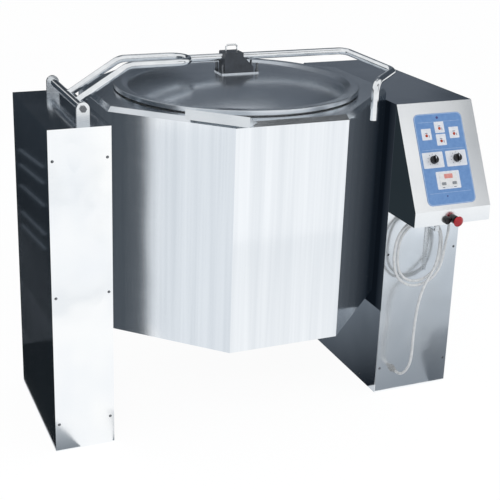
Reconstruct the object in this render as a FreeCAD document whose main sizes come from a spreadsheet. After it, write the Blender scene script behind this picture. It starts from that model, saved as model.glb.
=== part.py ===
import FreeCAD, Part

import Sketcher

import math
import os
import re

# Steam jacketed tilting kettle: an octagonal kettle hung between two pillars.
# Millimetres, +Z up, X from the left pillar to the right one, -Y to the cook's side.
# The origin is on the floor, in the middle of the width, below the trunnion axis.

doc = FreeCAD.newDocument("tilting_kettle")
sheet = doc.addObject("Spreadsheet::Sheet", "Sizes")
vector = FreeCAD.Vector

driving = {
    # whole machine and pillars
    "pillar_height": 1000,
    "left_pillar_depth": 475,
    "pillar_front": 200,
    "left_pillar_width": 181,
    "right_pillar_width": 272,
    "pillar_sheet": 3,
    "cover_sheet": 2,
    "pillar_fold": 22,
    "fold_radius": 3,
    "base_plate_thickness": 8,
    "screw_radius": 2.5,
    "screw_head_radius": 4.5,
    "screw_head_height": 2.4,
    "screw_edge": 12,
    "screw_foot": 90,
    "screw_length": 7,
    "screw_gap": 0.1,
    "side_screw_front": 88,
    "side_screw_rear": 22,
    "side_screw_high": 335,
    "side_screw_middle": 191,
    "side_screw_low": 17,
    # kettle casing
    "side_gap": 6,
    "trunnion_bay": 77.5,
    "casing_front_space": 48,
    "casing_back_space": 93,
    "casing_front_half": 172,
    "casing_bottom": 357,
    "casing_sheet": 2,
    "deck_height": 1040,
    "bevel_height": 14,
    "bevel_inset": 10,
    "deck_sheet": 3,
    "floor_fold": 25,
    # vessel and steam jacket
    "vessel_radius": 340,
    "vessel_sheet": 3,
    "vessel_floor": 520,
    "vessel_dish": 520,
    "rim_width": 19,
    "rim_height": 5,
    "jacket_space": 25,
    "jacket_sheet": 4,
    "jacket_drop": 110,
    "generator_radius": 150,
    "generator_depth": 75,
    "heater_rod_radius": 5,
    "heater_reach": 95,
    "heater_stand": 32,
    "heater_pitch": 48,
    "heater_spread": 24,
    "heater_bend": 14,
    "heater_foot_shift": 20,
    "valve_neck_radius": 9,
    "valve_radius": 15,
    "valve_stand": 38,
    "valve_length": 58,
    "valve_bonnet": 14,
    # trunnions, bearings and drive
    "trunnion_height": 700,
    "trunnion_radius": 30,
    "trunnion_flange": 15,
    "trunnion_flange_radius": 80,
    "bracket_wall": 8,
    "bracket_half": 100,
    "bearing_length": 56,
    "bearing_boss_radius": 50,
    "bearing_flange": 14,
    "bearing_flange_radius": 78,
    "bearing_bolt_circle": 64,
    "bolt_radius": 5,
    "gearbox_width": 60,
    "gearbox_size": 170,
    "gearbox_chamfer": 8,
    "motor_radius": 62,
    "motor_length": 190,
    "motor_flange": 12,
    "motor_hood": 16,
    "terminal_width": 70,
    "terminal_stand": 34,
    "terminal_height": 80,
    "running_gap": 0.05,
    "seat_gap": 0.3,
    "pass_gap": 3,
    # pouring lip
    "lip_width": 190,
    "lip_overhang": 17.4,
    "lip_inset": 48.4,
    "lip_gap": 5,
    "lip_rise": 27,
    "lip_hem": 29,
    "lip_sheet": 2.5,
    # lid
    "lid_overhang": 14,
    "lid_sheet": 3,
    "lid_skirt": 13,
    "lid_flat": 24,
    "lid_step_run": 18,
    "lid_step_drop": 10,
    "lid_dome": 900,
    "lid_crown_radius": 75,
    "lid_crown_height": 39,
    "seal_width": 9,
    "seal_height": 8.7,
    # lid arm
    "hinge_inset": 63,
    "hinge_rise": 36,
    "hinge_front_inset": 65,
    "hinge_rear_inset": 35,
    "lug_width": 38,
    "lug_thickness": 10,
    "shaft_radius": 12.5,
    "hinge_pin_radius": 6,
    "hinge_pin_depth": 30,
    "tube_radius": 11,
    "bore_drop": 16,
    "loop_spacing": 98,
    "knee_run": 160,
    "loop_reach": 160.5,
    "knee_radius": 60,
    "bar_reach": 370.5,
    "shoulder_reach": 425.5,
    "shoulder_front": -213,
    "shoulder_drop": 25,
    "grip_stand": 33.6,
    "grip_shift": 42.8,
    "grip_length": 110,
    "bend_radius": 34,
    "block_height": 61,
    "block_depth": 52,
    "block_left": -49,
    "block_right": 11,
    "block_toe": 45,
    "block_toe_height": 15,
    "block_shoulder": 13,
    "foot_length": 126,
    "foot_depth": 66,
    "foot_thickness": 4,
    "stud_radius": 3.5,
    "stud_length": 26,
    "bail_width": 36,
    "bail_height": 20,
    "bail_wire": 2.5,
    "bail_bend": 7,
    # control console
    "console_reach": 158,
    "face_drop": 304,
    "console_lip": 48,
    "console_sheet": 2,
    "panel_width": 174,
    "panel_length": 290,
    "panel_corner": 18,
    "panel_down": 182,
    "panel_thickness": 1,
    "lamp_radius": 5,
    "lamp_down": 106,
    "lamp_spread": 50,
    "lamp_rise": 20,
    "knob_radius": 13,
    "knob_height": 16,
    "knob_down": 184,
    "knob_spread": 42,
    "knob_collar": 4,
    "spindle_radius": 3,
    "display_width": 62,
    "display_length": 44,
    "display_down": 250,
    "stop_side": 5,
    "stop_rise": 15,
    "stop_body_radius": 13,
    "stop_body_length": 13,
    "stop_bore_depth": 12,
    "stop_stem_length": 12,
    "stop_free_gap": 0.5,
    "stop_stem_radius": 6,
    "stop_head_radius": 17,
    "stop_head_length": 16,
    "stop_dome": 9,
    "stop_travel": 5,
    "buzzer_side": -22,
    "buzzer_radius": 12,
    "buzzer_length": 11,
    "buzzer_rim": 2,
    # cord
    "cord_radius": 4.5,
    "gland_radius": 9,
    "gland_length": 28,
    "lead_shift": 54,
    "lead_stand": 64,
    "tail_shift": 78,
    "tail_height": 85,
    "coil_shift": 31,
    "coil_stand": 36,
    "coil_bottom": 402,
    "coil_bend": 89,
    "coil_straight": 44,
    "coil_thickness": 13,
    "hook_shift": 14,
    "hook_width": 14,
    "hook_sheet": 3,
    "hook_foot": 430,
}

derived = {
    "jacket_radius": "vessel_radius + vessel_sheet + jacket_space + jacket_sheet",
    "casing_half_width": "jacket_radius + trunnion_bay",
    "casing_half_depth": "jacket_radius + (casing_front_space + casing_back_space) / 2",
    "casing_setback": "(casing_back_space - casing_front_space) / 2",
    "casing_front": "jacket_radius + casing_front_space",
    "right_pillar_depth": "pillar_front + jacket_radius + casing_back_space",
    "facet_distance": "(casing_front_half + casing_front) / sqrt(2)",
    "overall_width": "left_pillar_width + right_pillar_width + (casing_half_width + side_gap) * 2",
    "left_side": "-overall_width / 2",
    "left_inner": "left_pillar_width - overall_width / 2",
    "right_side": "overall_width / 2",
    "right_inner": "overall_width / 2 - right_pillar_width",
    "kettle_middle": "(left_inner + right_inner) / 2",
    "casing_top": "deck_height - bevel_height",
    "vessel_outside": "vessel_radius + vessel_sheet",
    "rim_outside": "vessel_outside + rim_width",
    "rim_top": "deck_height + rim_height",
    "lid_top": "rim_top + seat_gap + seal_height + lid_sheet",
    "jacket_top": "deck_height - jacket_drop",
    "lid_radius": "rim_outside + lid_overhang",
    "seal_radius": "rim_outside - seal_width / 2",
    "lip_reach": "facet_distance + lip_overhang",
    "lip_start": "lid_radius + lip_gap",
    "lip_shift": "(casing_front - casing_front_half) / sqrt(2) - lip_inset",
    "lid_under": "lid_top - lid_sheet",
    "hinge_height": "pillar_height + hinge_rise",
    "crown_top": "lid_top - lid_step_drop + lid_crown_height",
    "console_middle": "(right_inner + right_side) / 2",
    "console_front": "-pillar_front - console_reach",
    "dish_centre": "vessel_floor + vessel_dish",
    "jacket_dish": "vessel_dish + vessel_sheet + jacket_space",
    "generator_floor": "dish_centre - jacket_dish - jacket_sheet - generator_depth",
    "hinge_x": "left_inner - hinge_inset",
    "hinge_front": "pillar_front - hinge_front_inset",
    "hinge_rear": "left_pillar_depth - pillar_front - hinge_rear_inset",
    "arm_height": "crown_top + foot_thickness + block_height - bore_drop",
    "loop_knee": "hinge_x + knee_run",
    "loop_end": "kettle_middle - loop_reach",
    "bar_end": "kettle_middle + bar_reach",
    "shoulder_side": "kettle_middle + shoulder_reach",
    "shoulder_height": "arm_height - shoulder_drop",
    "grip_side": "kettle_middle + (facet_distance + grip_stand - grip_shift) / sqrt(2)",
    "grip_front": "-(facet_distance + grip_stand + grip_shift) / sqrt(2)",
    "grip_bottom": "shoulder_height - grip_length",
    "console_bottom": "pillar_height - face_drop - console_lip",
    "face_length": "sqrt(console_reach ^ 2 + face_drop ^ 2)",
    "bore_radius": "trunnion_radius + running_gap",
    "coil_side": "console_middle - coil_shift",
    "coil_front": "-pillar_front - coil_stand",
    "coil_middle": "coil_bottom + coil_bend",
    "hook_side": "console_middle + hook_shift",
    "hook_tip": "coil_front - coil_thickness - 6",
    "lead_x": "console_middle + lead_shift",
    "lead_y": "-pillar_front - lead_stand",
    "tail_x": "console_middle - tail_shift",
}

corner_share = math.sqrt(2) - 1
left_turn = FreeCAD.Rotation(vector(0, 1, 0), -90)
right_turn = FreeCAD.Rotation(vector(0, 1, 0), 90)
front_turn = FreeCAD.Rotation(vector(1, 0, 0), 90)
back_turn = FreeCAD.Rotation(vector(1, 0, 0), -90)
upright = FreeCAD.Rotation()

nodes = []


def fill_sheet():
    """Write the driving sizes as plain numbers and the worked-out ones as formulas."""
    for row, (name, value) in enumerate(driving.items(), start=1):
        sheet.set("A%d" % row, name)
        sheet.set("B%d" % row, str(value))
        sheet.setAlias("B%d" % row, name)
    doc.recompute()
    for row, (name, formula) in enumerate(derived.items(), start=1):
        sheet.set("C%d" % row, name)
        sheet.set("D%d" % row, "=" + formula)
        sheet.setAlias("D%d" % row, name)
        doc.recompute()


def linked(formula):
    """The formula with each size's name pointing at the sheet."""
    def point(match):
        word = match.group()
        return "Sizes." + word if word in driving or word in derived else word
    return re.sub(r"[a-z_]\w*", point, str(formula))


def size(formula):
    """The value of a formula of sizes."""
    value = sheet.evalExpression(linked(formula))
    return float(getattr(value, "Value", value))


def bind(thing, path, formula):
    thing.setExpression(path, linked(formula))


def place(thing, x="0", y="0", z="0", turn=upright):
    """Put a thing at a point given by three formulas, turned by a fixed rotation."""
    thing.Placement = FreeCAD.Placement(vector(size(x), size(y), size(z)), turn)
    for path, formula in (("x", x), ("y", y), ("z", z)):
        bind(thing, "Placement.Base." + path, formula)
    return thing


def keep(thing, name):
    """Mark a finished sub-part and give it its node's name."""
    thing.Label = name
    nodes.append(thing)
    return thing


def box(name, lengths, corner, turn=upright):
    block = doc.addObject("Part::Box", name)
    for path, formula in zip(("Length", "Width", "Height"), lengths):
        bind(block, path, formula)
    return place(block, *corner, turn=turn)


def rod(name, radius, length, foot, turn=upright):
    bar = doc.addObject("Part::Cylinder", name)
    bind(bar, "Radius", radius)
    bind(bar, "Height", length)
    return place(bar, *foot, turn=turn)


def cone(name, low_radius, high_radius, length, foot, turn=upright):
    taper = doc.addObject("Part::Cone", name)
    bind(taper, "Radius1", low_radius)
    bind(taper, "Radius2", high_radius)
    bind(taper, "Height", length)
    return place(taper, *foot, turn=turn)


def joined(name, pieces):
    union = doc.addObject("Part::MultiFuse", name)
    union.Shapes = pieces
    union.Refine = True
    return union


def without(name, base, tool):
    result = doc.addObject("Part::Cut", name)
    result.Base = base
    result.Tool = tool
    return result


def group(name, pieces):
    """Identical fasteners kept as separate solids of one sub-part."""
    bundle = doc.addObject("Part::Compound", name)
    bundle.Links = pieces
    return bundle


def shaped(name, shape):
    """A sub-part whose form is a route in space, worked out from the sizes."""
    piece = doc.addObject("Part::Feature", name)
    piece.Shape = shape
    return piece


def new_body(name, x="0", y="0", z="0", turn=upright):
    body = doc.addObject("PartDesign::Body", name)
    return place(body, x, y, z, turn)


def origin_part(body, role):
    return [plane for plane in body.Origin.OriginFeatures if plane.Role == role][0]


def new_sketch(body, name, plane, lift="0"):
    """A sketch on one of the body's own planes, lifted along the plane's normal."""
    sketch = body.newObject("Sketcher::SketchObject", name)
    sketch.AttachmentSupport = (origin_part(body, plane), [""])
    sketch.MapMode = "FlatFace"
    bind(sketch, "AttachmentOffset.Base.z", lift)
    return sketch


def pin_point(sketch, edge, end, corner, tag):
    """Tie one point of a sketch to the origin by two formulas."""
    for axis, kind, formula in ((-2, "DistanceX", corner[0]), (-1, "DistanceY", corner[1])):
        if formula == "0":
            sketch.addConstraint(Sketcher.Constraint("PointOnObject", edge, end, axis))
            continue
        number = sketch.addConstraint(Sketcher.Constraint(kind, -1, 1, edge, end, size(formula)))
        name = "%s_%s" % (tag, kind[-1].lower())
        sketch.renameConstraint(number, name)
        bind(sketch, "Constraints." + name, formula)


def arc_between(start, end, radius, side):
    """The arc of a radius between two points, its centre on the left (1) or right (-1)."""
    chord = end - start
    across = vector(-chord.y, chord.x, 0).normalize()
    height = math.sqrt(radius ** 2 - (chord.Length / 2) ** 2)
    centre = (start + end) / 2 + across * (height * side)
    first, last = (start, end) if side > 0 else (end, start)
    angles = [math.atan2(spot.y - centre.y, spot.x - centre.x) for spot in (first, last)]
    circle = Part.Circle(centre, vector(0, 0, 1), radius)
    return Part.ArcOfCircle(circle, angles[0], angles[1])


def outline(sketch, corners, arcs=None):
    """A closed outline through corners given by formulas, with arcs on some sides."""
    arcs = arcs or {}
    spots = [vector(size(x), size(y), 0) for x, y in corners]
    first_edge = sketch.GeometryCount
    for number, spot in enumerate(spots):
        following = spots[(number + 1) % len(spots)]
        if number in arcs:
            radius, side = arcs[number]
            edge = sketch.addGeometry(arc_between(spot, following, size(radius), side), False)
            tie = sketch.addConstraint(Sketcher.Constraint("Radius", edge, size(radius)))
            name = "radius_%d" % edge
            sketch.renameConstraint(tie, name)
            bind(sketch, "Constraints." + name, radius)
        else:
            edge = sketch.addGeometry(Part.LineSegment(spot, following), False)
    for number, corner in enumerate(corners):
        edge = first_edge + number
        previous = first_edge + (number - 1) % len(corners)
        start = 2 if number in arcs and arcs[number][1] < 0 else 1
        before = (number - 1) % len(corners)
        finish = 1 if before in arcs and arcs[before][1] < 0 else 2
        sketch.addConstraint(Sketcher.Constraint("Coincident", previous, finish, edge, start))
        pin_point(sketch, edge, start, corner, "corner_%d" % edge)
    return sketch


def rectangle(sketch, left, low, right, high):
    return outline(sketch, [(left, low), (right, low), (right, high), (left, high)])


def ring(sketch, x, y, radius):
    """A circle at a point given by formulas."""
    circle = Part.Circle(vector(size(x), size(y), 0), vector(0, 0, 1), size(radius))
    edge = sketch.addGeometry(circle, False)
    pin_point(sketch, edge, 3, (x, y), "centre_%d" % edge)
    tie = sketch.addConstraint(Sketcher.Constraint("Radius", edge, size(radius)))
    name = "radius_%d" % edge
    sketch.renameConstraint(tie, name)
    bind(sketch, "Constraints." + name, radius)
    return sketch


def octagon(sketch, inset="0"):
    """The kettle's plan, moved inwards by an even distance."""
    front = "casing_front_half - (%s) * %.6f" % (inset, corner_share)
    deep = "casing_half_depth - (%s)" % inset
    wide = "casing_half_width - (%s)" % inset
    side = "(%s) - ((%s) - (%s))" % (deep, wide, front)
    quarter = [(front, deep), (wide, side)]
    corners = [(x, "-(%s)" % y) for x, y in quarter]
    corners += [(x, y) for x, y in reversed(quarter)]
    corners += [("-(%s)" % x, y) for x, y in quarter]
    corners += [("-(%s)" % x, "-(%s)" % y) for x, y in reversed(quarter)]
    return outline(sketch, corners)


def feature(body, kind, name, sketch):
    step = body.newObject("PartDesign::" + kind, name)
    step.Profile = sketch
    return step


def pad(body, name, sketch, length, back=False):
    step = feature(body, "Pad", name, sketch)
    bind(step, "Length", length)
    step.Reversed = back
    return step


def pocket(body, name, sketch, length, back=False):
    """Cut a pocket and make sure that it took something away."""
    doc.recompute()
    before = body.Tip.Shape.Volume
    step = feature(body, "Pocket", name, sketch)
    bind(step, "Length", length)
    step.Reversed = back
    doc.recompute()
    if step.Shape.Volume > before - 1:
        raise ValueError(name + " cuts nothing")
    return step


def turned(body, name, sketch, axis="V_Axis"):
    """A full turn of a sketch about one of its own axes."""
    step = feature(body, "Revolution", name, sketch)
    step.ReferenceAxis = (sketch, [axis])
    return step


def edges_where(shape, test):
    """Names of the edges whose middle passes a test."""
    return ["Edge%d" % number for number, edge in enumerate(shape.Edges, start=1) if test(edge)]


def is_upright(edge):
    first, last = edge.Vertexes[0].Point, edge.Vertexes[-1].Point
    flat = vector(first.x - last.x, first.y - last.y, 0).Length
    return flat < 0.01 and abs(first.z - last.z) > 1


def rounded(body, name, radius, test):
    """Round the edges of a body's last feature that pass a test."""
    doc.recompute()
    base = body.Tip
    step = body.newObject("PartDesign::Fillet", name)
    step.Base = (base, edges_where(base.Shape, test))
    bind(step, "Radius", radius)
    return step


def bent_route(points, radii):
    """Straight runs joined by tangent arcs; radii has one value for each inner point."""
    edges = []
    last = points[0]
    for before, corner, after, radius in zip(points, points[1:], points[2:], radii):
        inward = (before - corner).normalize()
        outward = (after - corner).normalize()
        half = inward.getAngle(outward) / 2
        reach = radius / math.tan(half)
        start = corner + inward * reach
        end = corner + outward * reach
        centre = corner + (inward + outward).normalize() * (radius / math.sin(half))
        middle = centre + (corner - centre).normalize() * radius
        if (start - last).Length > 0.01:
            edges.append(Part.LineSegment(last, start).toShape())
        edges.append(Part.Arc(start, middle, end).toShape())
        last = end
    if (points[-1] - last).Length > 0.01:
        edges.append(Part.LineSegment(last, points[-1]).toShape())
    return Part.Wire(edges)


def tube_along(route, radius):
    """A round bar swept along a route."""
    start = route.Edges[0]
    heading = start.tangentAt(start.FirstParameter)
    circle = Part.Wire(Part.makeCircle(radius, start.valueAt(start.FirstParameter), heading))
    swept = route.makePipeShell([circle], True, False)
    return swept if swept.Volume > 0 else swept.reversed()


# Pillars

def pillar_shell(name, left, right, depth, inner, shaft_side):
    """A folded sheet box, open at the front behind its cover and below."""
    shell = new_body(name, y="cover_sheet - pillar_front")
    depth += " - cover_sheet"
    plan = rectangle(new_sketch(shell, name + "_plan", "XY_Plane"), left, "0", right, depth)
    pad(shell, name + "_block", plan, "pillar_height")
    rounded(shell, name + "_folds", "fold_radius", is_upright)
    hollow = new_sketch(shell, name + "_hollow", "XY_Plane")
    rectangle(hollow, left + " + pillar_sheet", "pillar_sheet", right + " - pillar_sheet",
              depth + " - pillar_sheet")
    pocket(shell, name + "_room", hollow, "pillar_height - pillar_sheet", back=True)
    mouth = new_sketch(shell, name + "_mouth", "XZ_Plane")
    rectangle(mouth, left + " + pillar_fold", "pillar_fold", right + " - pillar_fold",
              "pillar_height - pillar_fold")
    pocket(shell, name + "_opening", mouth, "pillar_sheet + 1")
    passage = new_sketch(shell, name + "_passage", "YZ_Plane", lift=inner)
    ring(passage, "pillar_front - cover_sheet", "trunnion_height", "trunnion_radius + pass_gap")
    pocket(shell, name + "_shaft_hole", passage, "pillar_sheet + 1", back=shaft_side)
    fixings = new_sketch(shell, name + "_fixings", "XZ_Plane")
    for x in (left + " + screw_edge", right + " - screw_edge"):
        for z in screw_levels:
            ring(fixings, x, z, "screw_radius + screw_gap")
    pocket(shell, name + "_screw_holes", fixings, "pillar_sheet + 1")
    if inner == "right_inner":
        sides = new_sketch(shell, name + "_side_fixings", "YZ_Plane", lift=inner)
        for y, z in side_screw_spots:
            ring(sides, y + " + pillar_front - cover_sheet", z, "screw_radius + screw_gap")
        pocket(shell, name + "_side_holes", sides, "pillar_sheet + 1", back=shaft_side)
    return keep(shell, name)


def pillar_cover(name, left, right):
    """The flat front plate with its turned-in edge, held by six screws."""
    cover = new_body(name, y="-pillar_front")
    face = new_sketch(cover, name + "_face", "XZ_Plane")
    rectangle(face, left, "0", right, "pillar_height")
    for x in (left + " + screw_edge", right + " - screw_edge"):
        for z in screw_levels:
            ring(face, x, z, "screw_radius + screw_gap")
    pad(cover, name + "_plate", face, "cover_sheet", back=True)
    return keep(cover, name)


screw_levels = ("screw_foot", "pillar_height / 2", "pillar_height - screw_foot")
side_screw_spots = (("-side_screw_front", "side_screw_high"),
                    ("side_screw_rear", "side_screw_middle"),
                    ("-side_screw_front", "side_screw_low"))


def screw(name, x, y, z, turn):
    """A low dome-headed screw whose head looks along the turn's +Z."""
    shank = rod(name + "_shank", "screw_radius", "screw_length", (x, y, z),
                turn * FreeCAD.Rotation(vector(1, 0, 0), 180))
    head = cone(name + "_head", "screw_head_radius", "screw_radius", "screw_head_height",
                (x, y, z), turn)
    return joined(name, [shank, head])


def cover_screws(name, left, right):
    pieces = []
    for x in (left + " + screw_edge", right + " - screw_edge"):
        for z in screw_levels:
            pieces.append(screw("%s_%d" % (name, len(pieces)), x, "-pillar_front", z, front_turn))
    return keep(group(name + "_set", pieces), name)


def base_plate(name, left, right, depth):
    """The floor plate inside a pillar."""
    plate = new_body(name, y="-pillar_front")
    face = new_sketch(plate, name + "_face", "XY_Plane")
    inset = " + pillar_sheet + seat_gap"
    rectangle(face, left + inset, "cover_sheet + pillar_sheet + seat_gap",
              right + " - pillar_sheet - seat_gap", depth + " - pillar_sheet - seat_gap")
    pad(plate, name + "_plate", face, "base_plate_thickness")
    return keep(plate, name)


def bearing(name, wall, outward):
    """A flanged bearing on the inside of a pillar's inner wall."""
    turn = left_turn if outward < 0 else right_turn
    unit = new_body(name, wall, "0", "trunnion_height", turn)
    half = new_sketch(unit, name + "_section", "XZ_Plane")
    outline(half, [("bore_radius", "0"), ("bearing_flange_radius", "0"),
                   ("bearing_flange_radius", "bearing_flange"),
                   ("bearing_boss_radius + 6", "bearing_flange"),
                   ("bearing_boss_radius", "bearing_flange + 8"),
                   ("bearing_boss_radius", "bearing_length"),
                   ("bore_radius", "bearing_length")])
    turned(unit, name + "_turned", half)
    holes = new_sketch(unit, name + "_holes", "XY_Plane", lift="bearing_flange")
    for x in ("", "-"):
        for y in ("", "-"):
            ring(holes, x + bolt_offset, y + bolt_offset, "bolt_radius + screw_gap")
    pocket(unit, name + "_bored", holes, "bearing_flange + 1")
    return keep(unit, name)


bolt_offset = "bearing_bolt_circle * 0.7071"


def hex_bolt(name, x, y, z, turn, length):
    """A hexagon head on its shank, the head looking along the turn's +Z."""
    head = doc.addObject("Part::Prism", name + "_head")
    head.Polygon = 6
    bind(head, "Circumradius", "bolt_radius * 1.8")
    bind(head, "Height", "bolt_radius * 1.3")
    place(head, x, y, z, turn)
    shank = rod(name + "_shank", "bolt_radius", length, (x, y, z),
                turn * FreeCAD.Rotation(vector(1, 0, 0), 180))
    return joined(name, [head, shank])


def bearing_bolts(name, wall, outward):
    turn = left_turn if outward < 0 else right_turn
    seat = "%s %s bearing_flange" % (wall, "-" if outward < 0 else "+")
    pieces = []
    for y_side in ("-", ""):
        for z_side in ("-", "+"):
            y = y_side + bolt_offset
            z = "trunnion_height %s %s" % (z_side, bolt_offset)
            pieces.append(hex_bolt("%s_%d" % (name, len(pieces)), seat, y, z, turn,
                                   "bearing_flange"))
    return keep(group(name + "_set", pieces), name)


def tilt_gearbox():
    """The slip-on worm gearbox that turns the right trunnion."""
    near = "right_inner + pillar_sheet + bearing_length + seat_gap"
    case = new_body("tilt_gearbox", near, "0", "trunnion_height", right_turn)
    half = new_sketch(case, "gearbox_section", "XZ_Plane")
    outline(half, [("bore_radius", "0"), ("gearbox_size / 2 - gearbox_chamfer", "0"),
                   ("gearbox_size / 2", "gearbox_chamfer"),
                   ("gearbox_size / 2", "gearbox_width - gearbox_chamfer"),
                   ("gearbox_size / 2 - gearbox_chamfer", "gearbox_width"),
                   ("bore_radius", "gearbox_width")])
    turned(case, "gearbox_wheel_case", half)
    worm = new_sketch(case, "gearbox_worm_section", "YZ_Plane", lift="-gearbox_size / 2")
    ring(worm, "gearbox_size / 2", "gearbox_width / 2", "gearbox_width / 2 - 1")
    pad(case, "gearbox_worm_case", worm, "gearbox_size")
    return keep(case, "tilt_gearbox")


def tilt_motor():
    """The geared motor's cylinder below the worm, with its terminal box."""
    x = "right_inner + pillar_sheet + bearing_length + seat_gap + gearbox_width / 2"
    foot = "trunnion_height - gearbox_size / 2"
    drop = FreeCAD.Rotation(vector(1, 0, 0), 180)
    flange = rod("motor_mount", "motor_radius + 8", "motor_flange",
                 (x, "gearbox_size / 2", foot), drop)
    frame = rod("motor_frame", "motor_radius", "motor_length",
                (x, "gearbox_size / 2", foot), drop)
    hood = cone("motor_cowl", "motor_radius", "motor_radius * 0.8", "motor_hood",
                (x, "gearbox_size / 2", foot + " - motor_length"), drop)
    terminals = box("motor_terminals",
                    ("terminal_width", "motor_radius + terminal_stand", "terminal_height"),
                    (x + " - terminal_width / 2",
                     "gearbox_size / 2 - motor_radius - terminal_stand",
                     foot + " - (motor_length + terminal_height) / 2"))
    return keep(joined("motor_body", [flange, frame, hood, terminals]), "tilt_motor")


def side_screws():
    """Three screws in the right pillar's inner face."""
    pieces = []
    for y, z in side_screw_spots:
        pieces.append(screw("side_screw_%d" % len(pieces), "right_inner", y, z, left_turn))
    return keep(group("side_screw_set", pieces), "right_side_screws")


# Kettle

fold_middle_x = "(casing_half_width - floor_fold / 2)"
fold_middle_y = "(casing_half_depth - floor_fold / 2)"
floor_screw_spots = ((fold_middle_x, "0"), ("-" + fold_middle_x, "0"), ("0", fold_middle_y),
                     ("0", "-" + fold_middle_y))


def kettle_casing():
    """The octagonal outer wall with its inward fold at the foot."""
    casing = new_body("kettle_casing", "kettle_middle", "casing_setback")
    plan = octagon(new_sketch(casing, "casing_plan", "XY_Plane", lift="casing_bottom"))
    pad(casing, "casing_block", plan, "casing_top - casing_bottom")
    inside = new_sketch(casing, "casing_inside", "XY_Plane", lift="casing_top")
    octagon(inside, "casing_sheet")
    pocket(casing, "casing_room", inside, "casing_top - casing_bottom - casing_sheet")
    floor = new_sketch(casing, "casing_floor", "XY_Plane", lift="casing_bottom")
    octagon(floor, "floor_fold")
    pocket(casing, "casing_floor_opening", floor, "casing_sheet + 1", back=True)
    fixings = new_sketch(casing, "casing_fixings", "XY_Plane", lift="casing_bottom")
    for x, y in floor_screw_spots:
        ring(fixings, x, y, "screw_radius + screw_gap")
    pocket(casing, "casing_screw_holes", fixings, "casing_sheet + 1", back=True)
    sides = new_sketch(casing, "casing_sides", "YZ_Plane", lift="casing_half_width + 1")
    ring(sides, "-casing_setback", "trunnion_height", "trunnion_radius + pass_gap")
    pocket(casing, "casing_shaft_holes", sides, "casing_half_width * 2 + 2")
    return keep(casing, "kettle_casing")


def loft(body, kind, name, low, high):
    step = body.newObject("PartDesign::" + kind, name)
    step.Profile = low
    step.Sections = [high]
    return step


def kettle_deck():
    """The bevelled top plate with the round hole for the vessel."""
    deck = new_body("kettle_deck", "kettle_middle", "casing_setback")
    low = octagon(new_sketch(deck, "deck_low", "XY_Plane", lift="casing_top"))
    high = octagon(new_sketch(deck, "deck_high", "XY_Plane", lift="deck_height"), "bevel_inset")
    loft(deck, "AdditiveLoft", "deck_bevel", low, high)
    low = octagon(new_sketch(deck, "deck_low_inside", "XY_Plane", lift="casing_top"),
                  "casing_sheet")
    high = octagon(new_sketch(deck, "deck_high_inside", "XY_Plane", lift="deck_height - deck_sheet"),
                   "bevel_inset + casing_sheet")
    loft(deck, "SubtractiveLoft", "deck_underside", low, high)
    mouth = new_sketch(deck, "deck_mouth", "XY_Plane", lift="deck_height")
    ring(mouth, "0", "-casing_setback", "vessel_outside + seat_gap")
    pocket(deck, "deck_opening", mouth, "deck_sheet + 1")
    return keep(deck, "kettle_deck")


def kettle_floor():
    """The plate that closes the casing from below, with a ring of air holes."""
    floor = new_body("kettle_floor", "kettle_middle", "casing_setback")
    level = "casing_bottom + casing_sheet"
    plan = octagon(new_sketch(floor, "floor_plan", "XY_Plane", lift=level),
                   "casing_sheet + seat_gap")
    pad(floor, "floor_plate", plan, "casing_sheet")
    fixings = new_sketch(floor, "floor_fixings", "XY_Plane", lift=level)
    for x, y in floor_screw_spots:
        ring(fixings, x, y, "screw_radius + screw_gap")
    pocket(floor, "floor_screw_holes", fixings, "casing_sheet + 1", back=True)
    hole = new_sketch(floor, "floor_hole", "XY_Plane", lift=level)
    ring(hole, "generator_radius + 60", "0", "14")
    first = pocket(floor, "floor_air_hole", hole, "casing_sheet + 1", back=True)
    circle = floor.newObject("PartDesign::PolarPattern", "floor_air_holes")
    circle.Originals = [first]
    circle.Axis = (origin_part(floor, "Z_Axis"), [""])
    circle.Angle = 360
    circle.Occurrences = 8
    floor.Tip = circle
    return keep(floor, "kettle_floor")


def floor_screws():
    """Screws that hold the floor plate to the fold, one in the middle of each side."""
    pieces = []
    down = FreeCAD.Rotation(vector(1, 0, 0), 180)
    for x, y in floor_screw_spots:
        pieces.append(screw("floor_screw_%d" % len(pieces), "kettle_middle + " + x,
                            "casing_setback + " + y, "casing_bottom", down))
    return keep(group("floor_screw_set", pieces), "kettle_floor_screws")


def dish_level(radius, reach):
    """The height of a dished bottom of a radius, at a distance from the middle."""
    return "(dish_centre - sqrt((%s) ^ 2 - (%s) ^ 2))" % (radius, reach)


def inner_vessel():
    """The round cooking vessel: straight wall, dished bottom and flat rim."""
    vessel = new_body("inner_vessel", "kettle_middle")
    half = new_sketch(vessel, "vessel_section", "XZ_Plane")
    outer = "vessel_dish + vessel_sheet"
    outline(half, [("0", "vessel_floor - vessel_sheet"),
                   ("vessel_outside", dish_level(outer, "vessel_outside")),
                   ("vessel_outside", "deck_height"),
                   ("rim_outside", "deck_height"),
                   ("rim_outside", "rim_top"),
                   ("vessel_radius", "rim_top"),
                   ("vessel_radius", dish_level("vessel_dish", "vessel_radius")),
                   ("0", "vessel_floor")],
            {0: (outer, 1), 6: ("vessel_dish", -1)})
    turned(vessel, "vessel_turned", half)
    rounded(vessel, "vessel_rim_edge", "rim_height / 3", is_rim_edge)
    return keep(vessel, "inner_vessel")


def is_rim_edge(edge):
    box_of = edge.BoundBox
    high = abs(box_of.ZMax - size("rim_top")) < 0.01 and box_of.ZLength < 0.01
    return high and box_of.XLength > size("rim_outside * 2 - 1")


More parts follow.
